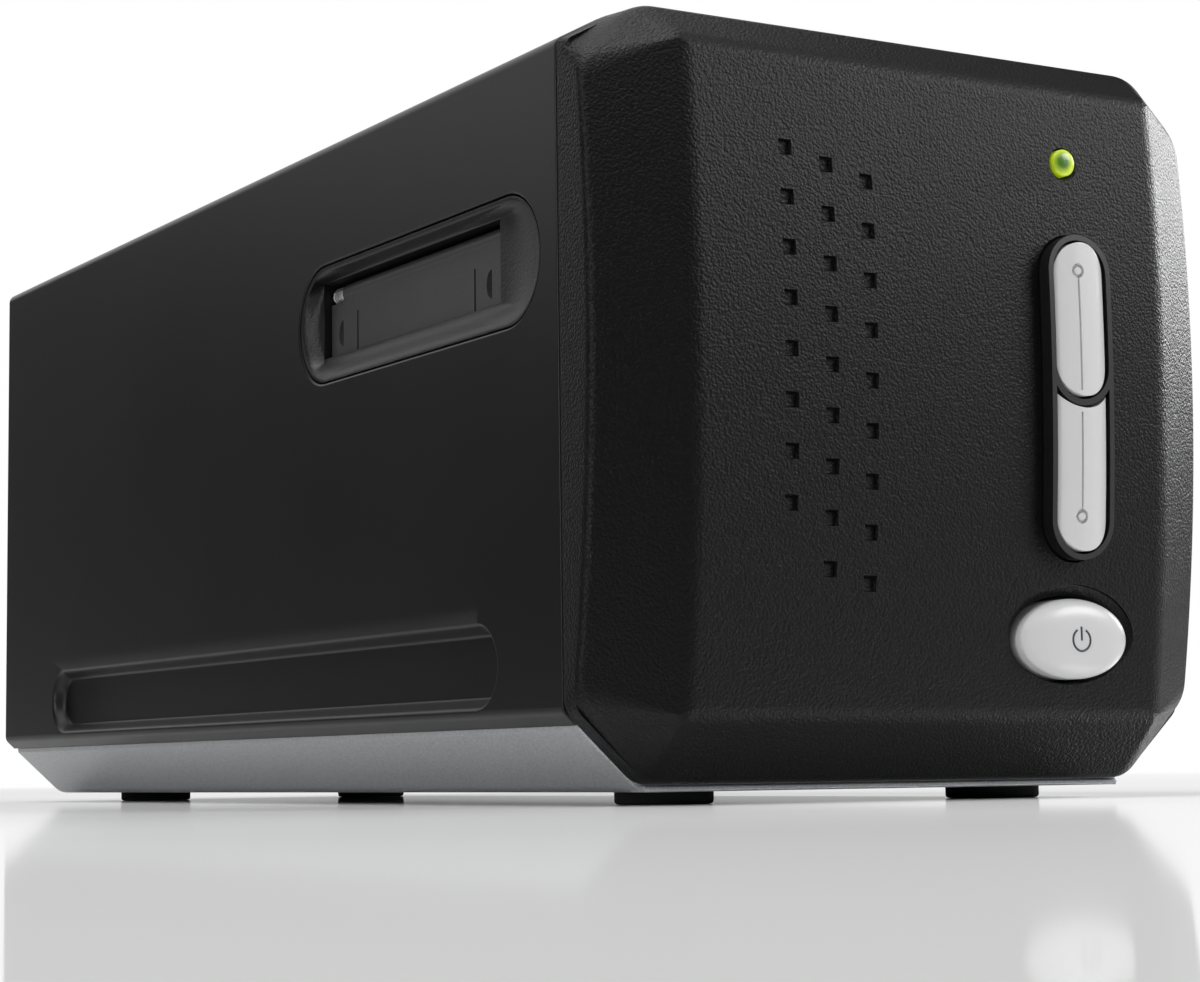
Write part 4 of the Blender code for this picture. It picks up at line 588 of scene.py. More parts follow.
@dataclass(frozen=True)
class Plastic:
    """Moulded or painted plastic, with grain, worn edges and a little dust."""

    name: str
    colour: Colour
    roughness: float = 0.45
    grain: float = 1300.0
    grain_strength: float = 0.35
    grain_depth: float = 0.00006
    dust: float = 0.25
    wear: float = 0.25
    wear_colour: Colour = (0.10, 0.10, 0.10)
    metallic: float = 0.0
    flake: float = 0.0
    coat: float = 0.0
    specular: float = 0.5

    def build(self) -> bpy.types.Material:
        """Make the material, once.

        Returns:
            The Principled material with its grain, wear and dust.
        """
        if self.name in bpy.data.materials:
            return bpy.data.materials[self.name]
        material, graph = new_material(self.name)
        grain = graph.node("ShaderNodeGroup", {"node_tree": GRAIN}, Scale=self.grain,
                           Strength=self.grain_strength,
                           Distance=self.grain_depth)
        dust = graph.node("ShaderNodeGroup", {"node_tree": DUST}, Amount=self.dust)
        wear = graph.node("ShaderNodeGroup", {"node_tree": WEAR}, Amount=self.wear)
        colour = (*self.colour, 1.0)
        deep = (*(0.72 * c for c in self.colour), 1.0)
        base = graph.mix(grain.outputs["Valley"], colour, deep)
        if self.flake:
            flake = graph.node("ShaderNodeGroup", {"node_tree": METAL}, Strength=self.flake)
            base = graph.node("ShaderNodeVectorMath", {"operation": "SCALE"}, i0=base,
                              Scale=flake.outputs[0]).outputs[0]
        base = graph.mix(wear.outputs[0], base, (*self.wear_colour, 1.0))
        base = graph.mix(graph.math("MULTIPLY", dust.outputs["Specks"], 0.25), base, (0.30, 0.29, 0.27, 1.0))
        rough = graph.math("ADD", self.roughness, graph.math("MULTIPLY", dust.outputs["Smudge"], 0.10))
        shader = graph.node("ShaderNodeBsdfPrincipled", Base_Color=base, Roughness=rough,
                            Metallic=self.metallic,
                            Coat_Weight=self.coat, Coat_Roughness=0.06, Normal=grain.outputs["Normal"])
        shader.inputs["Specular IOR Level"].default_value = self.specular
        graph.node("ShaderNodeOutputMaterial", Surface=shader.outputs[0])
        return material


@dataclass(frozen=True)
class Metal:
    """Bare metal with a fine texture and dulled patches."""

    name: str
    colour: Colour
    roughness: float = 0.28
    grain: float = 2600.0
    strength: float = 0.12

    def build(self) -> bpy.types.Material:
        """Make the material, once.

        Returns:
            The Principled material.
        """
        if self.name in bpy.data.materials:
            return bpy.data.materials[self.name]
        material, graph = new_material(self.name)
        flake = graph.node("ShaderNodeGroup", {"node_tree": METAL}, Scale=self.grain, Strength=self.strength)
        dust = graph.node("ShaderNodeGroup", {"node_tree": DUST}, Amount=0.5)
        base = graph.node("ShaderNodeVectorMath", {"operation": "SCALE"}, i0=(*self.colour,),
                          Scale=flake.outputs[0])
        rough = graph.math("ADD", self.roughness, graph.math("MULTIPLY", dust.outputs["Smudge"], 0.16))
        shader = graph.node("ShaderNodeBsdfPrincipled", Base_Color=base.outputs[0], Roughness=rough,
                            Metallic=1.0,
                            Normal=flake.outputs["Normal"])
        graph.node("ShaderNodeOutputMaterial", Surface=shader.outputs[0])
        return material


@dataclass(frozen=True)
class Board:
    """Circuit board lacquer with tracks and solder spots."""

    name: str
    colour: Colour

    def build(self) -> bpy.types.Material:
        """Make the material, once.

        Returns:
            The Principled material with copper tracks under green lacquer.
        """
        if self.name in bpy.data.materials:
            return bpy.data.materials[self.name]
        material, graph = new_material(self.name)
        place = graph.node("ShaderNodeTexCoord").outputs["Object"]
        tracks = graph.node("ShaderNodeTexBrick", Vector=place, Scale=420.0, Mortar_Size=0.012)
        pads = graph.node("ShaderNodeTexVoronoi", Vector=place, Scale=260.0, Randomness=0.3)
        pad = graph.node("ShaderNodeMapRange", Value=pads.outputs["Distance"], i1=0.12, i2=0.15, i3=1.0,
                         i4=0.0)
        lacquer = graph.mix(tracks.outputs["Fac"], (*self.colour, 1.0),
                            (*(1.6 * c for c in self.colour), 1.0))
        base = graph.mix(pad.outputs[0], lacquer, (0.62, 0.60, 0.56, 1.0))
        bump = graph.node("ShaderNodeBump", Strength=0.3, Distance=0.00008, Height=tracks.outputs["Fac"])
        shader = graph.node("ShaderNodeBsdfPrincipled", Base_Color=base, Roughness=0.35, Coat_Weight=0.4,
                            Metallic=pad.outputs[0], Normal=bump.outputs[0])
        graph.node("ShaderNodeOutputMaterial", Surface=shader.outputs[0])
        return material


@dataclass(frozen=True)
class LampGlass:
    """The tinted pilot lens, faintly lit from behind, its colour and glow painted with a highlight at the rim
    and shade in the middle.
    """

    name: str
    colour: Colour
    deep: Colour
    centre: tuple[float, float, float]
    radius: float

    def build(self) -> bpy.types.Material:
        """Make the material, once.

        Returns:
            A clear coated Principled material, with painted shade darker in its middle and a painted
            highlight bright at its rim.
        """
        material, graph = new_material(self.name)
        place = graph.node("ShaderNodeTexCoord").outputs["Object"]
        # Painted highlight and shade: the colour, and the glow that follows it, turns lighter towards the rim
        # round an off-centre point and stays darker in the middle.
        middle = tuple(c * MM for c in self.centre)
        away = graph.node("ShaderNodeVectorMath", {"operation": "DISTANCE"}, i0=place,
                          i1=middle).outputs["Value"]
        rim = graph.node("ShaderNodeMapRange", Value=away, i1=self.radius * MM * 0.5, i2=self.radius * MM,
                         i3=0.0, i4=1.0)
        highlight_noise = graph.node("ShaderNodeTexNoise", Vector=place, Scale=900.0, Detail=2.0)
        share = graph.math("MULTIPLY", rim.outputs[0], graph.math("ADD", highlight_noise.outputs["Fac"], 0.6))
        base = graph.mix(share, (*self.deep, 1.0), (*self.colour, 1.0))
        shader = graph.node("ShaderNodeBsdfPrincipled", Base_Color=base, Roughness=0.30, Coat_Weight=0.3,
                            Coat_Roughness=0.1, Emission_Color=base, Emission_Strength=0.25)
        shader.inputs["Subsurface Weight"].default_value = 0.25
        shader.inputs["Subsurface Scale"].default_value = 0.001
        graph.node("ShaderNodeOutputMaterial", Surface=shader.outputs[0])
        return material


SHELL = Plastic("shell_black", (0.0045, 0.0045, 0.0048), 0.33, 1500.0, 0.10, 0.00003, 0.25, 0.35,
                (0.05, 0.05, 0.05),
                specular=0.3)
BEZEL = Plastic("bezel_black", (0.0036, 0.0036, 0.0038), 0.36, 2150.0, 0.90, 0.00012, 0.20, 0.20,
                (0.06, 0.06, 0.06),
                specular=0.17)
SLOT = Plastic("slot_black", (0.006, 0.006, 0.0062), 0.38, 2150.0, 0.60, 0.00008, 0.30, 0.25,
               (0.08, 0.08, 0.08),
               specular=0.35)
GLOSS = Plastic("gloss_black", (0.004, 0.004, 0.004), 0.10, 600.0, 0.02, 0.00001, 0.20, 0.10, coat=1.0)
SILVER = Plastic("silver_paint", (0.46, 0.475, 0.495), 0.38, 2200.0, 0.16, 0.00003, 0.20, 0.30,
                 (0.62, 0.62, 0.63),
                 metallic=0.35, flake=0.25)
SATIN = Plastic("satin_silver", (0.26, 0.26, 0.26), 0.17, 3400.0, 0.70, 0.00005, 0.15, 0.20, (0.4, 0.4, 0.4),
                metallic=0.9, flake=0.8)
DARK = Plastic("dark_plastic", (0.020, 0.020, 0.021), 0.50, 1900.0, 0.30, 0.00005, 0.40, 0.30)
DOOR = Plastic("door_plastic", (0.045, 0.045, 0.046), 0.40, 2400.0, 0.22, 0.00003, 0.30, 0.40,
               (0.16, 0.16, 0.16))
RUBBER = Plastic("rubber", (0.010, 0.010, 0.010), 0.82, 1700.0, 0.50, 0.00006, 0.70, 0.10, specular=0.25)
WHITE = Plastic("white_plastic", (0.72, 0.72, 0.69), 0.45, 1800.0, 0.15, 0.00003, 0.30, 0.10)
INK = Plastic("symbol_ink", (0.05, 0.06, 0.08), 0.35, 2600.0, 0.10, 0.00002, 0.10, 0.0)
BELT = Plastic("belt_rubber", (0.013, 0.013, 0.013), 0.75, 2100.0, 0.50, 0.00006, 0.40, 0.10)
STEEL = Metal("steel", (0.52, 0.52, 0.53))
BRONZE = Metal("bronze", (0.46, 0.28, 0.12), 0.38)
GLASS = Metal("mirror_glass", (0.90, 0.90, 0.90), 0.02, 900.0, 0.01)
GREEN = Board("board_green", (0.015, 0.12, 0.045))
CAD_FINISHES = {
    "black_shell": SHELL, "black_bezel": BEZEL, "gloss_black": GLOSS, "silver_base": SILVER,
    "satin_silver": SATIN, "rubber": RUBBER, "dark_plastic": DARK, "steel": STEEL, "bronze": BRONZE,
    "white_plastic": WHITE,
    "board_green": GREEN, "mirror": GLASS, "belt_black": BELT, "lamp_green": WHITE,
}


def settle(item: bpy.types.Object, finish: object, body: str, slot: str, *nodes: str) -> bpy.types.Object:
    """Finish a piece, tie it to its body and let it stand for its CAD nodes.

    Args:
        item: The finished mesh.
        finish: The finish that builds its material.
        body: The CAD body that it rides on.
        slot: The record's material slot; not used.
        nodes: The CAD nodes that it stands for.

    Returns:
        The same object.
    """
    item.data.materials.clear()
    item.data.materials.append(finish.build())
    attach(item, body)
    if nodes:
        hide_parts(*nodes)
    LOG.info("%s: %d faces on %s", item.name, len(item.data.polygons), body)
    return item


# Housing


@dataclass(frozen=True)
class Body:
    """The sizes that the housing's pieces share."""

    half: float = 59.0
    top: float = 121.0
    shoulder_z: float = 115.5
    top_half: float = 49.0
    sill_z: float = 14.0
    floor_half: float = 46.0
    floor_z: float = 2.0
    split_z: float = 12.1
    front: float = -134.45
    seam: float = -117.85
    rear: float = 137.55
    wall: float = 2.2

    def face_y(self, z: np.ndarray | float, proud: float = 0.0) -> np.ndarray | float:
        """The bowed face: front + (z - 72)^2 / (2 * 405), less what stands proud.

        Args:
            z: Height.
            proud: How far the surface stands before the face.

        Returns:
            Y at that height.
        """
        return self.front + (z - 72.0) ** 2 / 810.0 - proud

    def rim_y(self, z: np.ndarray | float) -> np.ndarray | float:
        """The side rim: front + 7.7 + (z - 72)^2 / (2 * 317).

        Args:
            z: Height.

        Returns:
            Y at that height.
        """
        return self.front + 7.7 + (z - 72.0) ** 2 / 634.0


BODY = Body()


@dataclass
class Controls:
    """The lamp, the two scan buttons in their surround, and the power button."""

    x: float = 26.2
    width: float = 12.6
    low: float = 37.6
    high: float = 89.7
    wall: float = 0.9
    proud: float = 2.4
    button_proud: float = 3.1
    button_crown: float = 1.9
    gap: float = 0.45
    bridge: float = 1.0
    upper_low: float = 63.6025
    power_z: float = 25.2
    power_width: float = 21.5
    power_height: float = 12.8
    power_crown: float = 2.2
    power_sink: float = 0.6
    lamp_z: float = 102.0
    lamp_radius: float = 2.2

    @property
    def button_half(self) -> float:
        """Half the width of a scan button.

        Returns:
            The half width.
        """
        return self.width / 2 - self.wall - self.gap

    def surround_outline(self, margin: float = 0.0) -> Outline:
        """The upright stadium round both buttons.

        Args:
            margin: Growth of the outline.

        Returns:
            The outline's points.
        """
        made = stadium((self.low + self.high) / 2, self.x, self.high - self.low + 2 * margin,
                       self.width + 2 * margin, 40)
        return made[:, ::-1]

    def upper_outline(self, margin: float = 0.0) -> Outline:
        """The upper button's upright stadium.

        Args:
            margin: Growth of the outline.

        Returns:
            The outline's points.
        """
        top = self.high - self.wall - self.gap
        made = stadium((top + self.upper_low) / 2, self.x, top - self.upper_low + 2 * margin,
                       2 * (self.button_half + margin), 36)
        return made[:, ::-1]

    def lower_outline(self, margin: float = 0.0) -> Outline:
        """The lower button: round below, hollowed above round the upper one.

        Args:
            margin: Growth of the outline.

        Returns:
            The outline's points.
        """
        radius = self.button_half + margin
        low_z = self.low + self.wall + self.gap + self.button_half
        t = np.linspace(np.pi, 2 * np.pi, 37)
        bottom = np.c_[self.x + radius * np.cos(t), low_z + radius * np.sin(t)]
        centre = self.upper_low + self.button_half
        arch = self.button_half + 2 * self.gap + self.bridge - margin
        reach = math.acos(radius / arch)
        t = np.linspace(2 * np.pi - reach, np.pi + reach, 37)
        return np.vstack([bottom, np.c_[self.x + arch * np.cos(t), centre + arch * np.sin(t)]])

    def bowed(self, name: str, half: float, low: float, high: float, back: float, proud: float,
              crown: float = 0.0) -> bpy.types.Object:
        """A blank whose front follows the bowed face: y = face(z) - proud + crown u^2, u from -1 to 1 across.

        Args:
            name: The object's name.
            half: Half its width.
            low: Lowest height.
            high: Highest height.
            back: Place of its flat back.
            proud: How far its front stands before the face.
            crown: How much lower its front is at both sides than in the middle.

        Returns:
            The blank.
        """
        z = np.linspace(low, high, 48)
        u = np.linspace(-1, 1, 25 if crown else 2)
        rings = [lift(np.vstack([[(back, high), (back, low)], np.c_[BODY.face_y(z, proud) + crown * k * k,
                                                                    z]]), "X",
                      self.x + half * k) for k in u]
        return loft(name, np.stack(rings))

    def oval(self, share: float = 1.0, margin: float = 0.0, steps: int = 96) -> Outline:
        """The power button's ellipse.

        Args:
            share: Scale of the ellipse.
            margin: Growth after scaling.
            steps: Number of points.

        Returns:
            The outline's points.
        """
        t = np.linspace(0, 2 * np.pi, steps, endpoint=False)
        return np.c_[self.x + (self.power_width / 2 * share + margin) * np.cos(t),
                     self.power_z + (self.power_height / 2 * share + margin) * np.sin(t)]

    def dome_y(self, x: np.ndarray, z: np.ndarray) -> np.ndarray:
        """The power button's dome: edge - crown * sqrt(1 - rho^(2/0.7)), rho the elliptic radius.

        Args:
            x: X places.
            z: Heights.

        Returns:
            Y places on the dome.
        """
        rho = np.hypot((x - self.x) / (self.power_width / 2), (z - self.power_z) / (self.power_height / 2))
        edge = BODY.face_y(self.power_z) - self.power_sink
        return edge - self.power_crown * np.sqrt(np.clip(1 - rho ** (2 / 0.7), 0, 1))

    def surround(self) -> bpy.types.Object:
        """The glossy ring with its arched bridge.

        Returns:
            The finished ring.
        """
        back = BODY.front + 4.4
        ring = self.bowed("button_surround_ring", 9.0, self.low - 3, self.high + 3, back, self.proud)
        combine(ring, Operation.KEEP, prism("outline", "Y", self.surround_outline(), BODY.front - 9,
                                            back + 4))
        combine(ring, Operation.CUT, prism("upper", "Y", self.upper_outline(self.gap), BODY.front - 9,
                                           back + 4),
                prism("lower", "Y", self.lower_outline(self.gap), BODY.front - 9, back + 4))
        soften(ring, 0.32, 4)
        even_shading(ring, 40)
        return settle(ring, GLOSS, "housing", "gloss_black", "button_surround")

    def scan_button(self, name: str, body: str, outline: Outline, dot: tuple[float, float],
                    groove: tuple[float, float]) -> None:
        """A satin button with a soft edge, a ringed dot and a fine groove.

        Args:
            name: The CAD node that it stands for.
            body: The body that it rides on.
            outline: Its outline.
            dot: Centre of the ringed dot.
            groove: Lower and upper end of the groove.
        """
        low, high = outline[:, 1].min(), outline[:, 1].max()
        back = BODY.front + 6.0
        button = self.bowed(name + "_cap", self.width / 2, low - 3, high + 3, back, self.button_proud,
                            self.button_crown)
        combine(button, Operation.KEEP, prism("outline", "Y", outline, BODY.front - 9, back + 3))
        soften(button, 0.45, 4, 40)
        bake(button)
        near = BODY.face_y(dot[1], self.button_proud)
        turns = ((1.15, -1.0), (1.15, 0.75), (0.6, 0.75), (0.6, -0.9))
        tools = [loft("dot", np.stack([lift(circle(*dot, r), "Y", near + d) for r, d in turns]))]
        z = np.linspace(*groove, 24)
        path = np.vstack([np.c_[BODY.face_y(z, self.button_proud) + 0.4, z],
                          np.c_[BODY.face_y(z[::-1], self.button_proud + 1.0), z[::-1]]])
        tools.append(prism("groove", "X", path, dot[0] - 0.2, dot[0] + 0.2))
        combine(button, Operation.CUT, *tools)
        stem_z = (low + high) / 2
        combine(button, Operation.FUSE, prism("stem", "Y", circle(self.x, stem_z, 2.0, 32), back - 1.2,
                                              BODY.front + 9.3))
        even_shading(button, 40)
        settle(button, SATIN, body, "satin_silver", name)

    def power_button(self) -> None:
        """The domed oval button and the power symbol laid into it."""
        back = BODY.face_y(self.power_z) + 5.0
        edge = BODY.face_y(self.power_z) - self.power_sink
        turn = np.linspace(0, np.pi / 2, 22)[:-1]
        heights = np.r_[back, edge + 0.4, edge - self.power_crown * np.sin(turn)]
        shares = np.r_[1.0, 1.0, np.cos(turn) ** 0.7]
        rings = np.stack([lift(self.oval(s), "Y", y) for s, y in zip(shares, heights)])
        button = loft("power_button_cap", rings)
        combine(button, Operation.FUSE, prism("stem", "Y", circle(self.x, self.power_z, 2.0, 32),
                                              back - 1.2, BODY.front + 9.1))
        even_shading(button, 40)
        settle(button, SATIN, "power_button", "satin_silver", "power_button")
        t = np.radians(np.linspace(120, 420, 60))
        ring = np.c_[self.x + 1.75 * np.cos(t), self.power_z - 0.25 + 1.75 * np.sin(t)]
        bar = np.c_[np.full(12, self.x), np.linspace(self.power_z - 0.35, self.power_z + 1.85, 12)]
        for label, path in (("ring", ring), ("bar", bar)):
            line = np.c_[path[:, 0], self.dome_y(path[:, 0], path[:, 1]) + 0.05, path[:, 1]]
            settle(tube(f"power_symbol_{label}", line, 0.20), INK, "power_button", "dark_plastic")

    def lamp(self) -> None:
        """The green lens: a light pipe with a crowned end."""
        front = BODY.face_y(self.lamp_z) - 0.2
        turn = np.linspace(0, np.pi / 2, 14)[:-1]
        shares = np.r_[1.0, np.cos(turn)]
        heights = np.r_[BODY.front + 13.3, front - 0.75 * np.sin(turn)]
        rings = np.stack([lift(circle(self.x, self.lamp_z, self.lamp_radius * s, 72), "Y", y)
                          for s, y in zip(shares, heights)])
        lens = loft("pilot_lens", rings)
        # Painted highlight and shade on the lens: a lighter rim and a darker middle, round a centre 0.5 mm to
        # the left.
        finish = LampGlass("lamp_green", (0.55, 0.72, 0.02), (0.05, 0.15, 0.01),
                           (self.x - 0.5, front, self.lamp_z), 2.1)
        settle(lens, finish, "housing", "lamp_green", "led_lens")

    def build(self) -> None:
        """Make every control."""
        self.surround()
        upper, lower = (self.x - 0.8, self.high - 6.0), (self.x - 0.8, self.low + 6.8)
        self.scan_button("scan_button_upper", "upper_button", self.upper_outline(), upper,
                         (self.upper_low + 0.9, upper[1] - 0.9))
        self.scan_button("scan_button_lower", "lower_button", self.lower_outline(), lower,
                         (lower[1] + 0.9, self.upper_low - 2.6))
        self.power_button()
        self.lamp()


def tube(name: str, line: np.ndarray, radius: float, sides: int = 12) -> bpy.types.Object:
    """A round wire along a line, its section in the plane of the normal and the X-Z perpendicular.

    Args:
        name: The object's name.
        line: An (n, 3) array of points.
        radius: Radius of the wire.
        sides: Points round the wire.

    Returns:
        The closed wire.
    """
    run = np.gradient(line, axis=0)
    run /= np.linalg.norm(run, axis=1, keepdims=True)
    out = np.array([0.0, -1.0, 0.0])
    across = np.cross(run, out)
    across /= np.linalg.norm(across, axis=1, keepdims=True)
    over = np.cross(across, run)
    t = np.linspace(0, 2 * np.pi, sides, endpoint=False)[None, :, None]
    rings = line[:, None] + radius * (np.cos(t) * across[:, None] + np.sin(t) * over[:, None])
    return loft(name, rings)


@dataclass
class Bezel:
    """The bowed octagonal front with its facets, dimples and holes."""

    controls: Controls
    face_half: float = 45.2
    face_low: float = 13.0
    face_high: float = 114.3
    rim_low: float = 16.5
    rim_high: float = 110.5
    crown_half: float = 48.5
    crown_setback: float = 10.3
    chin_half: float = 46.25
    chin_setback: float = 13.5
    low: float = 3.2
    edge_round: float = 1.7
    rim_round: float = 1.3
    crown_round: float = 3.2
    seam_round: float = 0.2
    side_rows: int = 76
    top_columns: int = 64
    corner_steps: int = 8
    facet_steps: int = 8
    dimple_columns: tuple[tuple[float, float, int], ...] = ((-28.2, 99.0, 8), (-20.8, 97.0, 9),
                                                            (-13.4, 95.0, 9))
    dimple_pitch: float = 7.75
    dimple_size: float = 2.3

    def loop(self, corners: Sequence[Sequence[float]], setbacks: Sequence[float],
             bow: Bow | None) -> np.ndarray:
        """A closed loop round the octagon, with as many stations on each part as every other loop.

        Args:
            corners: Eight corners, from the right side's lower one, counter-clockwise seen from the front.
            setbacks: Rounding of each corner.
            bow: Y as a function of z on both sides, or None where the sides are straight.

        Returns:
            An (n, 3) array of stations.
        """
        corners = [np.asarray(c, float) for c in corners]
        count = len(corners)
        curves = []
        for i, tip in enumerate(corners):
            before, after = corners[i - 1], corners[(i + 1) % count]
            if bow is not None and i in (1, 5):
                before = self.beside(tip, -1 if i == 1 else 1, setbacks[i], bow)
            if bow is not None and i in (0, 4):
                after = self.beside(tip, 1 if i == 0 else -1, setbacks[i], bow)
            curves.append(soft_corner(before, tip, after, setbacks[i], self.corner_steps))
        steps = (self.side_rows, self.facet_steps, self.top_columns, self.facet_steps) * 2
        parts = []
        for i in range(count):
            after = curves[(i + 1) % count]
            t = np.linspace(0, 1, steps[i] + 2)[1:-1, None]
            line = curves[i][-1] * (1 - t) + after[0] * t
            if bow is not None and i in (0, 4):
                line[:, 1] = bow(line[:, 2])
            parts += [curves[i], line]
        return np.vstack(parts)

    @staticmethod
    def beside(tip: np.ndarray, way: int, reach: float, bow: Bow) -> np.ndarray:
        """The point of the bowed side a little above or below its corner.

        Args:
            tip: The corner.
            way: 1 for above, -1 for below.
            reach: Difference in height.
            bow: Y of the side at a height.

        Returns:
            The point.
        """
        z = tip[2] + way * reach
        return np.array([tip[0], bow(z), z])

    def face_loop(self, inset: float) -> np.ndarray:
        """The face's edge, drawn in by an inset, with the loops' stations; corners repeat at one point.

        Args:
            inset: How far the edge is drawn in.

        Returns:
            An (n, 3) array of stations.
        """
        half, low, high = self.face_half - inset, self.face_low + inset, self.face_high - inset
        z = np.linspace(low, high, self.side_rows + 2)[1:-1]
        x = np.linspace(half, -half, self.top_columns + 2)[1:-1]
        still = 2 * (self.corner_steps + 1) + self.facet_steps
        first = self.corner_steps + 1

        def hold(a: float, b: float, count: int) -> np.ndarray:
            """One corner of the face, held for a number of stations.

            Args:
                a: X of the corner.
                b: Height of the corner.
                count: Number of stations.

            Returns:
                A (count, 2) array.
            """
            return np.tile((a, b), (count, 1))

        parts = [hold(half, low, first), np.c_[np.full(z.size, half), z], hold(half, high, still),
                 np.c_[x, np.full(x.size, high)], hold(-half, high, still),
                 np.c_[np.full(z.size, -half), z[::-1]],
                 hold(-half, low, still), np.c_[-x, np.full(x.size, low)], hold(half, low, still - first)]
        flat = np.vstack(parts)
        return np.c_[flat[:, 0], BODY.face_y(flat[:, 1]), flat[:, 1]]

    def surface(self) -> bpy.types.Object:
        """The outer surface: a grid for the face and one strip of profiles round it.

        Each profile runs from the face over its edge E, down the facet, over the rim R and back to the seam
        S, with the curve (1-t)^2 A + 2t(1-t) T + t^2 B at E, at R and at the seam.

        Returns:
            The open surface.
        """
        crown, chin = BODY.front + self.crown_setback, BODY.front + self.chin_setback
        seam = BODY.seam - 0.2
        chin_seam = BODY.half - (BODY.sill_z - self.low) * 13.0 / 12.0
        rim_corners, seam_corners = [], []
        for x, up in ((1, False), (1, True), (-1, True), (-1, False)):
            z = self.rim_high if up else self.rim_low
            side_r, side_s = (x * BODY.half, BODY.rim_y(z), z), (x * BODY.half, seam,
                                                                 BODY.shoulder_z if up else BODY.sill_z)
            flat_r = (x * self.crown_half, crown, BODY.top) if up else (x * self.chin_half, chin, self.low)
            flat_s = (x * BODY.top_half, seam, BODY.top) if up else (x * chin_seam, seam, self.low)
            forward = (x > 0) == up
            rim_corners += [side_r, flat_r] if forward else [flat_r, side_r]
            seam_corners += [side_s, flat_s] if forward else [flat_s, side_s]
        rim_corners, seam_corners = rim_corners[1:] + rim_corners[:1], seam_corners[1:] + seam_corners[:1]
        rim = self.loop(rim_corners, (2.5, 3.0, self.crown_round, self.crown_round, 3.0, 2.5, 2.5, 2.5),
                        BODY.rim_y)
        back = self.loop(seam_corners, (2.0, 1.2, self.crown_round, self.crown_round, 1.2, 2.0, 2.0, 2.0),
                         None)
        edge, inner = self.face_loop(0.0), self.face_loop(self.edge_round)

        def step(a: np.ndarray, b: np.ndarray, reach: float) -> np.ndarray:
            """Points a reach from A towards B, and no farther than 0.4 of the way.

            Args:
                a: Start points.
                b: End points.
                reach: Length of the step.

            Returns:
                The points.
            """
            gap = np.linalg.norm(b - a, axis=1, keepdims=True)
            return a + (b - a) * np.minimum(reach / gap, 0.4)

        facet_a, facet_b = step(edge, rim, self.edge_round), step(rim, edge, self.rim_round)
        strip_a, strip_b = step(rim, back, self.rim_round), step(back, rim, self.seam_round)
        run = np.roll(back, -1, 0) - np.roll(back, 1, 0)
        inward = np.c_[-run[:, 2], np.zeros(len(run)), run[:, 0]]
        inward /= np.linalg.norm(inward, axis=1, keepdims=True)
        t = np.linspace(0, 1, 8)[1:-1, None, None]
        u = np.linspace(0, 1, 5)[1:-1, None, None]
        profile = np.concatenate([curve_through(inner, edge, facet_a, 6), facet_a * (1 - t) + facet_b * t,
                                  curve_through(facet_b, rim, strip_a, 6), strip_a * (1 - u) + strip_b * u,
                                  curve_through(strip_b, back, back + inward * self.seam_round, 3)])
        rows, stations = profile.shape[:2]
        half = self.face_half - self.edge_round
        z = np.linspace(self.face_low + self.edge_round, self.face_high - self.edge_round, self.side_rows + 2)
        x = np.linspace(-half, half, self.top_columns + 2)
        xx, zz = np.meshgrid(x, z)
        face = np.stack([xx, BODY.face_y(zz), zz], -1).reshape(-1, 3)
        faces = np.vstack([grid_faces(rows, stations, closed=True),
                           grid_faces(z.size, x.size, start=rows * stations)[:, ::-1]])
        return make_object("front_bezel_shell", np.vstack([profile.reshape(-1, 3), face]), faces, 60)

    def dimple_tool(self) -> bpy.types.Object:
        """Square pegs with a flared mouth, one for each dimple, in one mesh.

        Returns:
            The tool.
        """
        places = np.array([(x, top - row * self.dimple_pitch) for x, top, count in self.dimple_columns
                           for row in range(count)])
        square = np.array([(-1, -1), (1, -1), (1, 1), (-1, 1)]) / 2
        sizes = np.array([self.dimple_size - 0.5, self.dimple_size - 0.15, self.dimple_size,
                          self.dimple_size + 0.9])
        depths = np.array([0.8, 0.6, 0.12, -0.5])
        flat = places[:, None, None] + square[None, None] * sizes[None, :, None, None]
        y = (BODY.face_y(places[:, 1])[:, None, None] + depths[None, :, None]) * np.ones((1, 1, 4))
        points = np.stack([flat[..., 0], y, flat[..., 1]], -1).reshape(-1, 3)
        one = grid_faces(4, 4, closed=True).tolist() + [[0, 1, 2, 3], [12, 13, 14, 15]]
        faces = [[c + 16 * i for c in f] for i in range(len(places)) for f in one]
        return make_object("dimple_pegs", points, faces)

    def build(self) -> None:
        """Make the bezel, hollow and with all its holes."""
        bezel = self.surface()
        facing = bezel.data.polygons[len(bezel.data.polygons) - 10]
        if facing.normal.y > 0:
            bezel.data.flip_normals()
        thicken(bezel, 2.4)
        c = self.controls
        through = BODY.front + 11.0
        surround = prism("surround_hole", "Y", c.surround_outline(0.3), BODY.front - 6, through)
        growth = np.array([0.5, 0.5, 0.55, 0.75, 1.15, 1.75, 2.3, 2.3])
        depth = np.array([9.0, 2.0, 1.5, 1.0, 0.55, 0.2, -0.05, -4.0])
        near = BODY.face_y(c.power_z)
        well = loft("power_well", np.stack([lift(c.oval(1.0, g), "Y", near + d) for g,
                                            d in zip(growth, depth)]))
        lamp_y = BODY.face_y(c.lamp_z)
        lamp = loft("lamp_hole", np.stack([lift(circle(c.x, c.lamp_z, r, 72), "Y", lamp_y + d)
                                           for r, d in ((2.5, 9.0), (2.5, 0.5), (2.62, 0.12), (2.95, -0.08),
                                                        (2.95, -4.0))]))
        combine(bezel, Operation.CUT, surround, well, lamp, self.dimple_tool())
        even_shading(bezel, 38)
        settle(bezel, BEZEL, "housing", "black_bezel", "front_bezel")


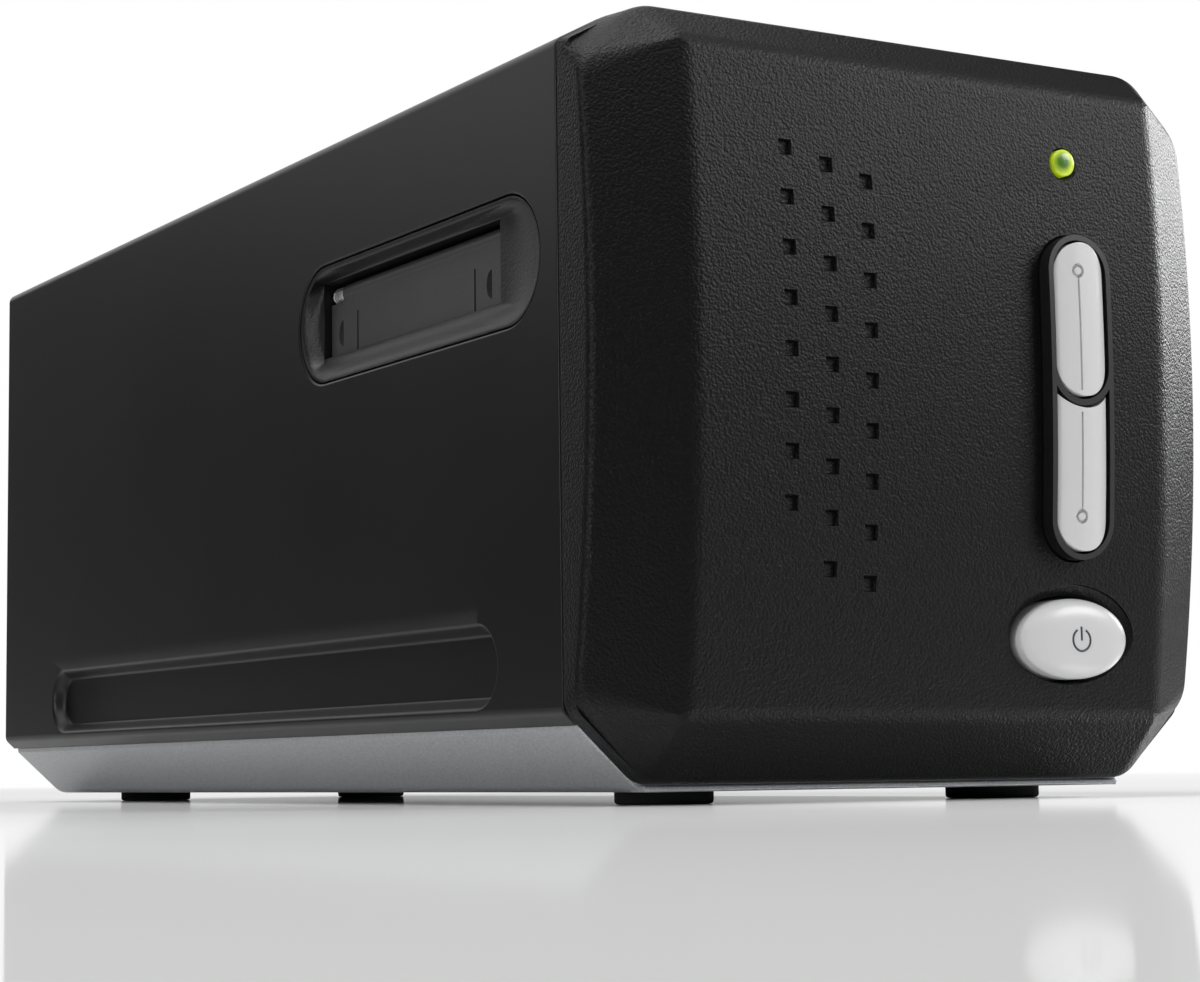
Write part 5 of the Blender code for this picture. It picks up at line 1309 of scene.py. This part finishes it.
def inset(corners: np.ndarray, wall: float) -> np.ndarray:
    """Draw a path's corners in by a wall along their mitres: c - w (n1 + n2) / (1 + n1.n2).

    Args:
        corners: The (n, 2) path, outside to its right.
        wall: Distance w.

    Returns:
        The (n, 2) inner path.
    """
    run = np.diff(corners, axis=0)
    normal = np.c_[run[:, 1], -run[:, 0]] / np.linalg.norm(run, axis=1, keepdims=True)
    before, after = np.vstack([normal[:1], normal]), np.vstack([normal, normal[-1:]])
    share = 1 + np.sum(before * after, axis=1, keepdims=True)
    return corners - wall * (before + after) / share


def rounded(corners: np.ndarray, setbacks: Sequence[float], steps: Sequence[int]) -> np.ndarray:
    """Round the inner corners of an open path.

    Args:
        corners: The (n, 2) path.
        setbacks: Setback of every corner but the ends.
        steps: Steps of every corner but the ends.

    Returns:
        The rounded path.
    """
    parts = [soft_corner(*corners[i:i + 3], setback, count) for i,
             (setback, count) in enumerate(zip(setbacks, steps))]
    return np.vstack([corners[:1], *parts, corners[-1:]])


def spread(section: np.ndarray, pitch: float) -> np.ndarray:
    """Put more points on the long parts of a section.

    Args:
        section: An (n, 4) array of outer and inner points.
        pitch: Longest step of the outer path.

    Returns:
        The section with its own points kept.
    """
    parts = [section[:1]]
    for a, b in zip(section, section[1:]):
        count = max(1, int(math.ceil(np.linalg.norm((b - a)[:2]) / pitch)))
        parts.append(a + (b - a) * (np.arange(1, count + 1) / count)[:, None])
    return np.vstack(parts)


def bent_sheet(name: str, section: np.ndarray, ends: tuple[float, float],
               rounding: float) -> bpy.types.Object:
    """Sweep a walled section along Y, with its outer end edges rounded.

    At the angle t of the end's quarter round the surface lies r (1 - sin t) below the section and
    r (1 - cos t) from the end.

    Args:
        name: The object's name.
        section: The (n, 4) outer and inner points, outside to the right of their direction.
        ends: Front and rear Y.
        rounding: Radius r of the end edges.

    Returns:
        The closed sheet.
    """
    outer, inner = section[:, :2], section[:, 2:]
    normal = outward(outer)
    t = np.linspace(0, np.pi / 2, 6)
    drop, run = rounding * (1 - np.sin(t)), rounding * (1 - np.cos(t))
    middle = np.linspace(ends[0] + 8, ends[1] - 8, 14)
    back = np.linspace(ends[1], ends[0], 16)
    places = np.r_[ends[0] + run, middle, (ends[1] - run)[::-1], back]
    drops = np.r_[drop, np.zeros(middle.size), drop[::-1]]
    skin = outer[:, None] - normal[:, None] * drops[None, :, None]
    lining = np.broadcast_to(inner[:, None], (len(inner), back.size, 2))
    flat = np.concatenate([skin, lining], axis=1)
    y = np.broadcast_to(places, flat.shape[:2])
    return loft(name, np.stack([flat[..., 0], y, flat[..., 1]], -1))


@dataclass
class Cover:
    """The black cover with its slot windows and grip recesses."""

    grip_length: float = 203.0
    grip_height: float = 13.0
    grip_y: float = 4.25
    grip_z: float = 21.7
    grip_depth: float = 2.6
    slot_length: float = 88.2
    slot_height: float = 21.0
    slot_y: float = -68.05
    slot_z: float = 84.1

    def path(self) -> np.ndarray:
        """The section from the right split over the top to the left one.

        Returns:
            An (n, 4) array of outer and inner points.
        """
        split = BODY.half - (BODY.sill_z - BODY.split_z) * 13.0 / 12.0
        right = [(split, BODY.split_z), (BODY.half, BODY.sill_z), (BODY.half, BODY.shoulder_z),
                 (BODY.top_half, BODY.top)]
        corners = np.array(right + [(-x, z) for x, z in right[::-1]])
        steps = (4, 5, 10, 10, 5, 4)
        outer = rounded(corners, (0.9, 1.2, 3.2, 3.2, 1.2, 0.9), steps)
        inner = rounded(inset(corners, BODY.wall), (0.4, 0.6, 2.6, 2.6, 0.6, 0.4), steps)
        return spread(np.hstack([outer, inner]), 9.0)

    def grip_tools(self, side: Side) -> tuple[bpy.types.Object, bpy.types.Object]:
        """The pocket that is fused behind the side and the hollow that is cut from it.

        Args:
            side: The housing's side.

        Returns:
            The pocket and the hollow.
        """
        sign = side.value
        pocket_x = np.array([BODY.half - self.grip_depth - 1.8, BODY.half - 1.1])
        pocket = np.stack([lift(stadium(self.grip_y, self.grip_z, self.grip_length + 2 * m,
                                        self.grip_height + 2 * m), "X",
                                sign * x) for m, x in zip((0.0, 1.8), pocket_x)])
        t = np.linspace(0, 1, 9)
        ease = t * t * (3 - 2 * t)
        margins = np.r_[-1.9 + 2.3 * t, 0.4]
        places = np.r_[BODY.half - self.grip_depth * (1 - ease), BODY.half + 3.0]
        hollow = np.stack([lift(stadium(self.grip_y, self.grip_z, self.grip_length + 2 * m,
                                        self.grip_height + 2 * m), "X",
                                sign * x) for m, x in zip(margins, places)])
        return loft("grip_pocket", pocket), loft("grip_hollow", hollow)

    def build(self) -> None:
        """Make the cover."""
        cover = bent_sheet("top_cover_shell", self.path(), (BODY.seam + 0.2, BODY.rear), 0.35)
        for side in Side:
            pocket, hollow = self.grip_tools(side)
            combine(cover, Operation.FUSE, pocket)
            sizes = ((-7.0, 0.0), (-0.45, 0.0), (-0.2, 0.08), (0.0, 0.4), (4.0, 0.4))
            window = np.stack([lift(stadium(self.slot_y, self.slot_z, self.slot_length + 2 * m,
                                            self.slot_height + 2 * m),
                                    "X", side.value * (BODY.half + x)) for x, m in sizes])
            combine(cover, Operation.CUT, hollow, loft("slot_window", window))
        even_shading(cover, 30)
        settle(cover, SHELL, "housing", "black_shell", "top_cover")


@dataclass
class Base:
    """The silver base with its front lip, foot seats and rubber feet."""

    lip_reach: float = 1.3
    lip_height: float = 1.0
    foot_radius: float = 7.8
    feet: dict[str, tuple[float, float]] = field(default_factory=lambda: {
        "front_left": (-32.5, -102.95), "front_right": (32.5, -102.95),
        "rear_left": (-27.2, 126.05), "rear_right": (27.2, 126.05)})
    screws: tuple[tuple[float, float], ...] = ((-30.0, -83.45), (30.0, -83.45), (-30.0, 100.55),
                                               (30.0, 100.55))

    def build(self) -> None:
        """Make the base tray and the feet."""
        corners = np.array([(-56.51, 11.7), (-BODY.floor_half, BODY.floor_z),
                            (BODY.floor_half, BODY.floor_z), (56.51, 11.7)])
        outer = rounded(corners, (1.6, 1.6), (6, 6))
        inner = rounded(inset(corners, BODY.wall), (1.0, 1.0), (6, 6))
        section = np.hstack([outer, inner])
        near, past = section[0] * 0.94 + section[1] * 0.06, section[-1] * 0.94 + section[-2] * 0.06
        crest = 0.45 * (section[0, 2:] - section[0, :2]) / BODY.wall
        first, last = section[0].copy(), section[-1].copy()
        first[:2] += crest
        last[:2] += crest * (-1, 1)
        base = bent_sheet("base_tray_shell", spread(np.vstack([first, near, section[1:-1], past, last]), 8.0),
                          (BODY.seam + 0.2, BODY.rear), 0.5)
        lip = block("lip", (-46.0, BODY.seam - self.lip_reach, BODY.floor_z),
                    (46.0, BODY.seam + 3.0, BODY.floor_z + self.lip_height))
        combine(base, Operation.FUSE, bake(soften(lip, 0.35, 3)))
        tools = [prism("seat", "Z", circle(x, y, self.foot_radius + 0.3), -2.0, 2.9) for x,
                 y in self.feet.values()]
        tools += [prism("bore", "Z", circle(x, y, 3.0), -2.0, 4.7) for x, y in self.screws]
        combine(base, Operation.CUT, *tools)
        even_shading(base, 30)
        settle(base, SILVER, "housing", "silver_base", "base_tray")
        for label, (x, y) in self.feet.items():
            profile = np.array([(0.88, 0.0), (0.95, 0.06), (0.99, 0.28), (1.0, 0.6), (1.0, 2.6)])
            rings = np.stack([lift(circle(x, y, self.foot_radius * r, 80), "Z", z) for r, z in profile])
            foot = loft(f"rubber_foot_{label}", rings)
            groove = circle(x, y, self.foot_radius * 0.62, 80)
            inner = circle(x, y, self.foot_radius * 0.52, 80)
            tool = np.stack([lift(groove, "Z", -1.0), lift(groove, "Z", 0.35), lift(inner, "Z", 0.35),
                             lift(inner, "Z", -0.9)])
            combine(foot, Operation.CUT, loft("ring_groove", tool))
            even_shading(foot, 50)
            settle(foot, RUBBER, "housing", "rubber", f"foot_{label}")


@dataclass
class FilmSlot:
    """One film slot: its dished surround and its sprung door."""

    side: Side
    cover: Cover
    block_depth: float = 7.5
    scoop: float = 2.8
    mouth_y: float = -61.65
    mouth_z: float = 85.55
    mouth_length: float = 66.0
    mouth_height: float = 13.5
    door_x: float = 53.4
    pivot_z: float = 90.1

    def slot(self, margin: float) -> Outline:
        """The slot's stadium.

        Args:
            margin: Growth of the outline.

        Returns:
            The outline's points.
        """
        return stadium(self.cover.slot_y, self.cover.slot_z, self.cover.slot_length + 2 * margin,
                       self.cover.slot_height + 2 * margin)

    def mouth(self, margin: float) -> Outline:
        """The film mouth, a rounded rectangle with the stadium's number of points.

        Args:
            margin: Growth of the outline.

        Returns:
            The outline's points.
        """
        t = np.linspace(-np.pi / 2, np.pi / 2, 29)
        across, up = np.clip(np.cos(t) * 2.2, 0, 1), np.clip(np.sin(t) * 1.25, -1, 1)
        a, b = self.mouth_length / 2 + margin, self.mouth_height / 2 + margin
        right = np.c_[self.mouth_y + across * a, self.mouth_z + up * b]
        left = np.c_[self.mouth_y - across * a, self.mouth_z - up * b]
        return np.vstack([right, left])

    def surround(self) -> None:
        """The insert: a stadium block whose dish falls to the mouth along an eased curve."""
        sign, half = self.side.value, BODY.half
        insert = prism("insert", "X", self.slot(-0.3), sign * (half - 0.3), sign * (half - self.block_depth))
        t = np.linspace(0, 1, 12)
        ease = np.sin(t * np.pi / 2) ** 1.3
        outer, inner = self.slot(-1.0), self.mouth(0.0)
        rings = [lift(self.slot(0.6), "X", sign * (half + 3.0)),
                 lift(self.slot(-0.55), "X", sign * (half - 0.28))]
        rings += [lift(outer * (1 - k) + inner * k, "X",
                       sign * (half - 0.45 - (self.scoop - 0.45) * e)) for k, e in zip(t, ease)]
        dish = loft("dish", np.stack(rings))
        mouth = prism("mouth", "X", self.mouth(0.0), sign * (half - 12.0), sign * (half - self.scoop + 0.6))
        pin = prism("pin_seat", "Y", circle(sign * self.door_x, self.pivot_z, 1.0, 32), self.mouth_y - 35.3,
                    self.mouth_y + 35.3)
        insert.name = insert.data.name = f"slot_insert_{self.side.label}"
        combine(insert, Operation.CUT, dish, mouth, pin)
        even_shading(insert, 32)
        settle(insert, SLOT, "housing", "black_bezel", f"slot_surround_{self.side.label}")

    def door(self) -> None:
        """The door: a plate on a barrel, with two half-moon recesses and two slits."""
        sign, label = self.side.value, self.side.label
        front, rear = self.mouth_y - self.mouth_length / 2 + 0.5, self.mouth_y + self.mouth_length / 2 - 0.5
        low = self.mouth_z - self.mouth_height / 2 + 0.5
        inner, outer = sorted((sign * (self.door_x - 0.6), sign * (self.door_x + 1.5)))
        door = block(f"door_plate_{label}", (inner, front, low), (outer, rear, self.pivot_z))
        barrel = prism("barrel", "Y", circle(sign * self.door_x, self.pivot_z, 1.7, 48), front, rear - 4.8)
        combine(door, Operation.FUSE, barrel)
        bore = prism("bore", "Y", circle(sign * self.door_x, self.pivot_z, 1.0, 32), front - 4, rear + 4)
        room = prism("room", "Y", circle(sign * self.door_x, self.pivot_z, 2.2, 32), rear - 4.8, rear + 4)
        near, past = sorted((sign * (self.door_x + 0.3), sign * (self.door_x + 4.0)))
        tools = [bore, room]
        t = np.linspace(-np.pi / 2, np.pi / 2, 25)
        for y in (front + 4.8, rear - 4.8):
            moon = np.c_[y + 1.9 * np.cos(t), low + 3.6 + 2.4 * np.sin(t)]
            tools.append(prism("moon", "X", moon, near, past))
        for y in (front + 10.6, rear - 10.6):
            tools.append(block("slit", (near, y - 0.3, low - 2.0), (past, y + 0.3, low + 7.0)))
        combine(door, Operation.CUT, *tools)
        soften(door, 0.14, 2, 40)
        bake(door)
        even_shading(door, 40)
        settle(door, DOOR, f"{label}_door", "dark_plastic", f"dust_door_{label}")

    def build(self) -> None:
        """Make the surround and the door."""
        self.surround()
        self.door()


@dataclass
class Interior:
    """The CAD nodes that are shown as they are, with rounded edges where they can be seen."""

    rounded: dict[str, float] = field(default_factory=lambda: {
        "rear_panel": 0.35, "usb_socket": 0.25, "power_jack": 0.3,
        **{f"base_screw_{end}_{side.label}": 0.3 for end in ("front", "rear") for side in Side}})

    def build(self) -> None:
        """Give each shown CAD node its material, and rounded edges where it is seen."""
        by_node = {part["node"]: part["material_slot"] for part in frame["record"]["subparts"]}
        for name, item in frame["nodes"].items():
            if item.hide_render:
                continue
            slot = by_node[name]
            item.data.materials.clear()
            item.data.materials.append(CAD_FINISHES[slot].build())
            width = self.rounded.get(name, 0.0)
            if width:
                weld = item.modifiers.new("weld", "WELD")
                weld.merge_threshold = 1e-6
                soften(item, width, 3)
            LOG.info("%s keeps its CAD mesh, finish %s", name, slot)


@dataclass
class Studio:
    """The pale floor, the soft lights and the camera."""

    eye: tuple[float, float, float] = (-261.1, -471.7, 5.2)
    pitch: float = 0.1015
    roll: float = -0.0130
    yaw: float = 0.5333
    lens: float = 82.63
    floor_size: float = 9.0
    lamps: tuple[tuple[str, tuple, tuple, tuple, float], ...] = (
        ("overhead", (-0.35, -0.15, 1.5), (0.0, 0.0, 0.0), (1.6, 1.6), 5.0),
        ("crown", (-0.42, -0.10, 1.45), (-0.05, -0.12, 0.12), (0.35, 0.35), 5.0),
        ("key", (1.03, -1.05, 0.82), (0.0, -0.12, 0.08), (0.8, 0.5), 9.5),
        ("rim", (1.40, 0.05, 0.54), (0.05, -0.12, 0.08), (0.5, 0.4), 10.0),
        ("left_rear", (-0.78, 0.85, 0.58), (-0.06, -0.10, 0.10), (0.6, 0.5), 1.0),
        ("side", (-0.95, -0.55, 1.05), (0.0, -0.06, 0.08), (0.5, 0.5), 2.5),
        ("edge", (-1.18, -0.44, 0.34), (-0.06, -0.12, 0.07), (0.07, 0.55), 3.2),
    )
    flags: tuple[tuple[str, tuple, tuple], ...] = (
        ("side_flag", (-1320.0, -2400.0, 0.0), (-1300.0, 9000.0, 1700.0)),
        ("front_flag", (-1320.0, -2420.0, 0.0), (1520.0, -2400.0, 1150.0)),
        ("right_flag", (1600.0, -500.0, 0.0), (1620.0, 1150.0, 270.0)),
        ("roof_flag", (-600.0, 0.0, 700.0), (600.0, 20.0, 2100.0)),
    )
    high_flag_place: tuple[float, float, float] = (1.22, 0.46, 0.0)
    high_flag_turn: float = -69.0
    sky: float = 0.22
    table_grey: float = 0.88
    table_gloss: float = 0.40
    table_roughness: float = 0.06
    lift_near: float = 0.30
    lift_far: float = 1.30

    def camera(self) -> None:
        """Put the camera at the photo's place.

        The view axes are forward (sin yaw cos pitch, cos yaw cos pitch, sin pitch), right and up, turned by
        roll.
        """
        y, p, r = self.yaw, self.pitch, self.roll
        forward = Vector((math.sin(y) * math.cos(p), math.cos(y) * math.cos(p), math.sin(p)))
        level = Vector((math.cos(y), -math.sin(y), 0.0))
        over = level.cross(forward)
        right = math.cos(r) * level + math.sin(r) * over
        up = -math.sin(r) * level + math.cos(r) * over
        data = bpy.data.cameras.new("camera")
        data.lens, data.sensor_width = self.lens, 36.0
        data.clip_start, data.clip_end = 0.01, 100.0
        item = bpy.data.objects.new("camera", data)
        matrix = Matrix((right, up, -forward)).transposed().to_4x4()
        matrix.translation = Vector(self.eye) * MM
        item.matrix_world = matrix
        bpy.context.scene.collection.objects.link(item)
        bpy.context.scene.camera = item

    def lights(self) -> None:
        """Set up the area lamps and the sky."""
        for name, place, aim, size, power in self.lamps:
            data = bpy.data.lights.new(name, "AREA")
            data.shape = "RECTANGLE"
            data.size, data.size_y = size
            data.energy = power
            item = bpy.data.objects.new(name, data)
            item.location = place
            item.rotation_euler = (Vector(aim) - Vector(place)).to_track_quat("-Z", "Y").to_euler()
            bpy.context.scene.collection.objects.link(item)
        world = bpy.data.worlds.new("studio")
        bpy.context.scene.world = world
        world.use_nodes = True
        graph = Graph(world.node_tree)
        path = graph.node("ShaderNodeLightPath")
        dim = graph.node("ShaderNodeBackground", Color=(1.0, 1.0, 1.0, 1.0), Strength=self.sky)
        white = graph.node("ShaderNodeBackground", Color=(1.0, 1.0, 1.0, 1.0), Strength=1.0)
        seen = graph.math("MAXIMUM", path.outputs["Is Camera Ray"], path.outputs["Is Glossy Ray"])
        seen = graph.math("MAXIMUM", seen, path.outputs["Is Transmission Ray"])
        mixed = graph.node("ShaderNodeMixShader", Fac=seen)
        graph.feed(mixed, 1, dim.outputs[0])
        graph.feed(mixed, 2, white.outputs[0])
        graph.node("ShaderNodeOutputWorld", Surface=mixed.outputs[0])

    def floor(self) -> None:
        """The white, slightly glossy table and the dark flags that the left side and the controls mirror."""
        half = self.floor_size / 2 / MM
        points = np.array([(-half, -half, 0), (half, -half, 0), (half, half, 0), (-half, half, 0)])
        item = make_object("table", points, [(0, 1, 2, 3)])
        if item.data.polygons[0].normal.z < 0:
            item.data.flip_normals()
        material, graph = new_material("table_white")
        matt = graph.node("ShaderNodeBsdfDiffuse", Color=(*(self.table_grey,) * 3, 1.0))
        gloss = graph.node("ShaderNodeBsdfGlossy", Color=(1.0, 1.0, 1.0, 1.0), Roughness=self.table_roughness)
        mixed = graph.node("ShaderNodeMixShader", Fac=self.table_gloss)
        graph.feed(mixed, 1, matt.outputs[0])
        graph.feed(mixed, 2, gloss.outputs[0])
        path = graph.node("ShaderNodeLightPath")
        white = graph.node("ShaderNodeEmission", Color=(1.0, 1.0, 1.0, 1.0), Strength=1.0)
        place = graph.node("ShaderNodeTexCoord").outputs["Object"]
        away = graph.node("ShaderNodeVectorMath", {"operation": "LENGTH"}, i0=place).outputs["Value"]
        share = graph.node("ShaderNodeMapRange", Value=away, i1=self.lift_near, i2=self.lift_far, i3=0.0,
                           i4=1.0)
        seen = graph.math("MULTIPLY", path.outputs["Is Camera Ray"], share.outputs[0])
        lifted = graph.node("ShaderNodeMixShader", Fac=seen)
        graph.feed(lifted, 1, mixed.outputs[0])
        graph.feed(lifted, 2, white.outputs[0])
        graph.node("ShaderNodeOutputMaterial", Surface=lifted.outputs[0])
        item.data.materials.append(material)
        flags = [block(*flag) for flag in self.flags]
        turn = Matrix.Rotation(math.radians(self.high_flag_turn), 4, "Z")
        flags[-1].data.transform(Matrix.Translation(self.high_flag_place) @ turn)
        dark, paint = new_material("flag_black")
        cloth = paint.node("ShaderNodeBsdfDiffuse", Color=(0.02, 0.02, 0.02, 1.0))
        paint.node("ShaderNodeOutputMaterial", Surface=cloth.outputs[0])
        for flag in flags:
            flag.data.materials.append(dark)
            flag.visible_camera = False

    def build(self) -> None:
        """Set up the camera, the lights and the floor."""
        self.camera()
        self.lights()
        self.floor()
        bpy.context.scene.view_settings.view_transform = "Standard"


def main() -> None:
    """Dress the whole scanner and set up its studio."""
    logging.basicConfig(level=logging.INFO, format="%(name)s: %(message)s")
    controls = Controls()
    cover = Cover()
    Bezel(controls).build()
    controls.build()
    cover.build()
    Base().build()
    for side in Side:
        FilmSlot(side, cover).build()
    Interior().build()
    Studio().build()


if __name__ == "__main__":
    main()
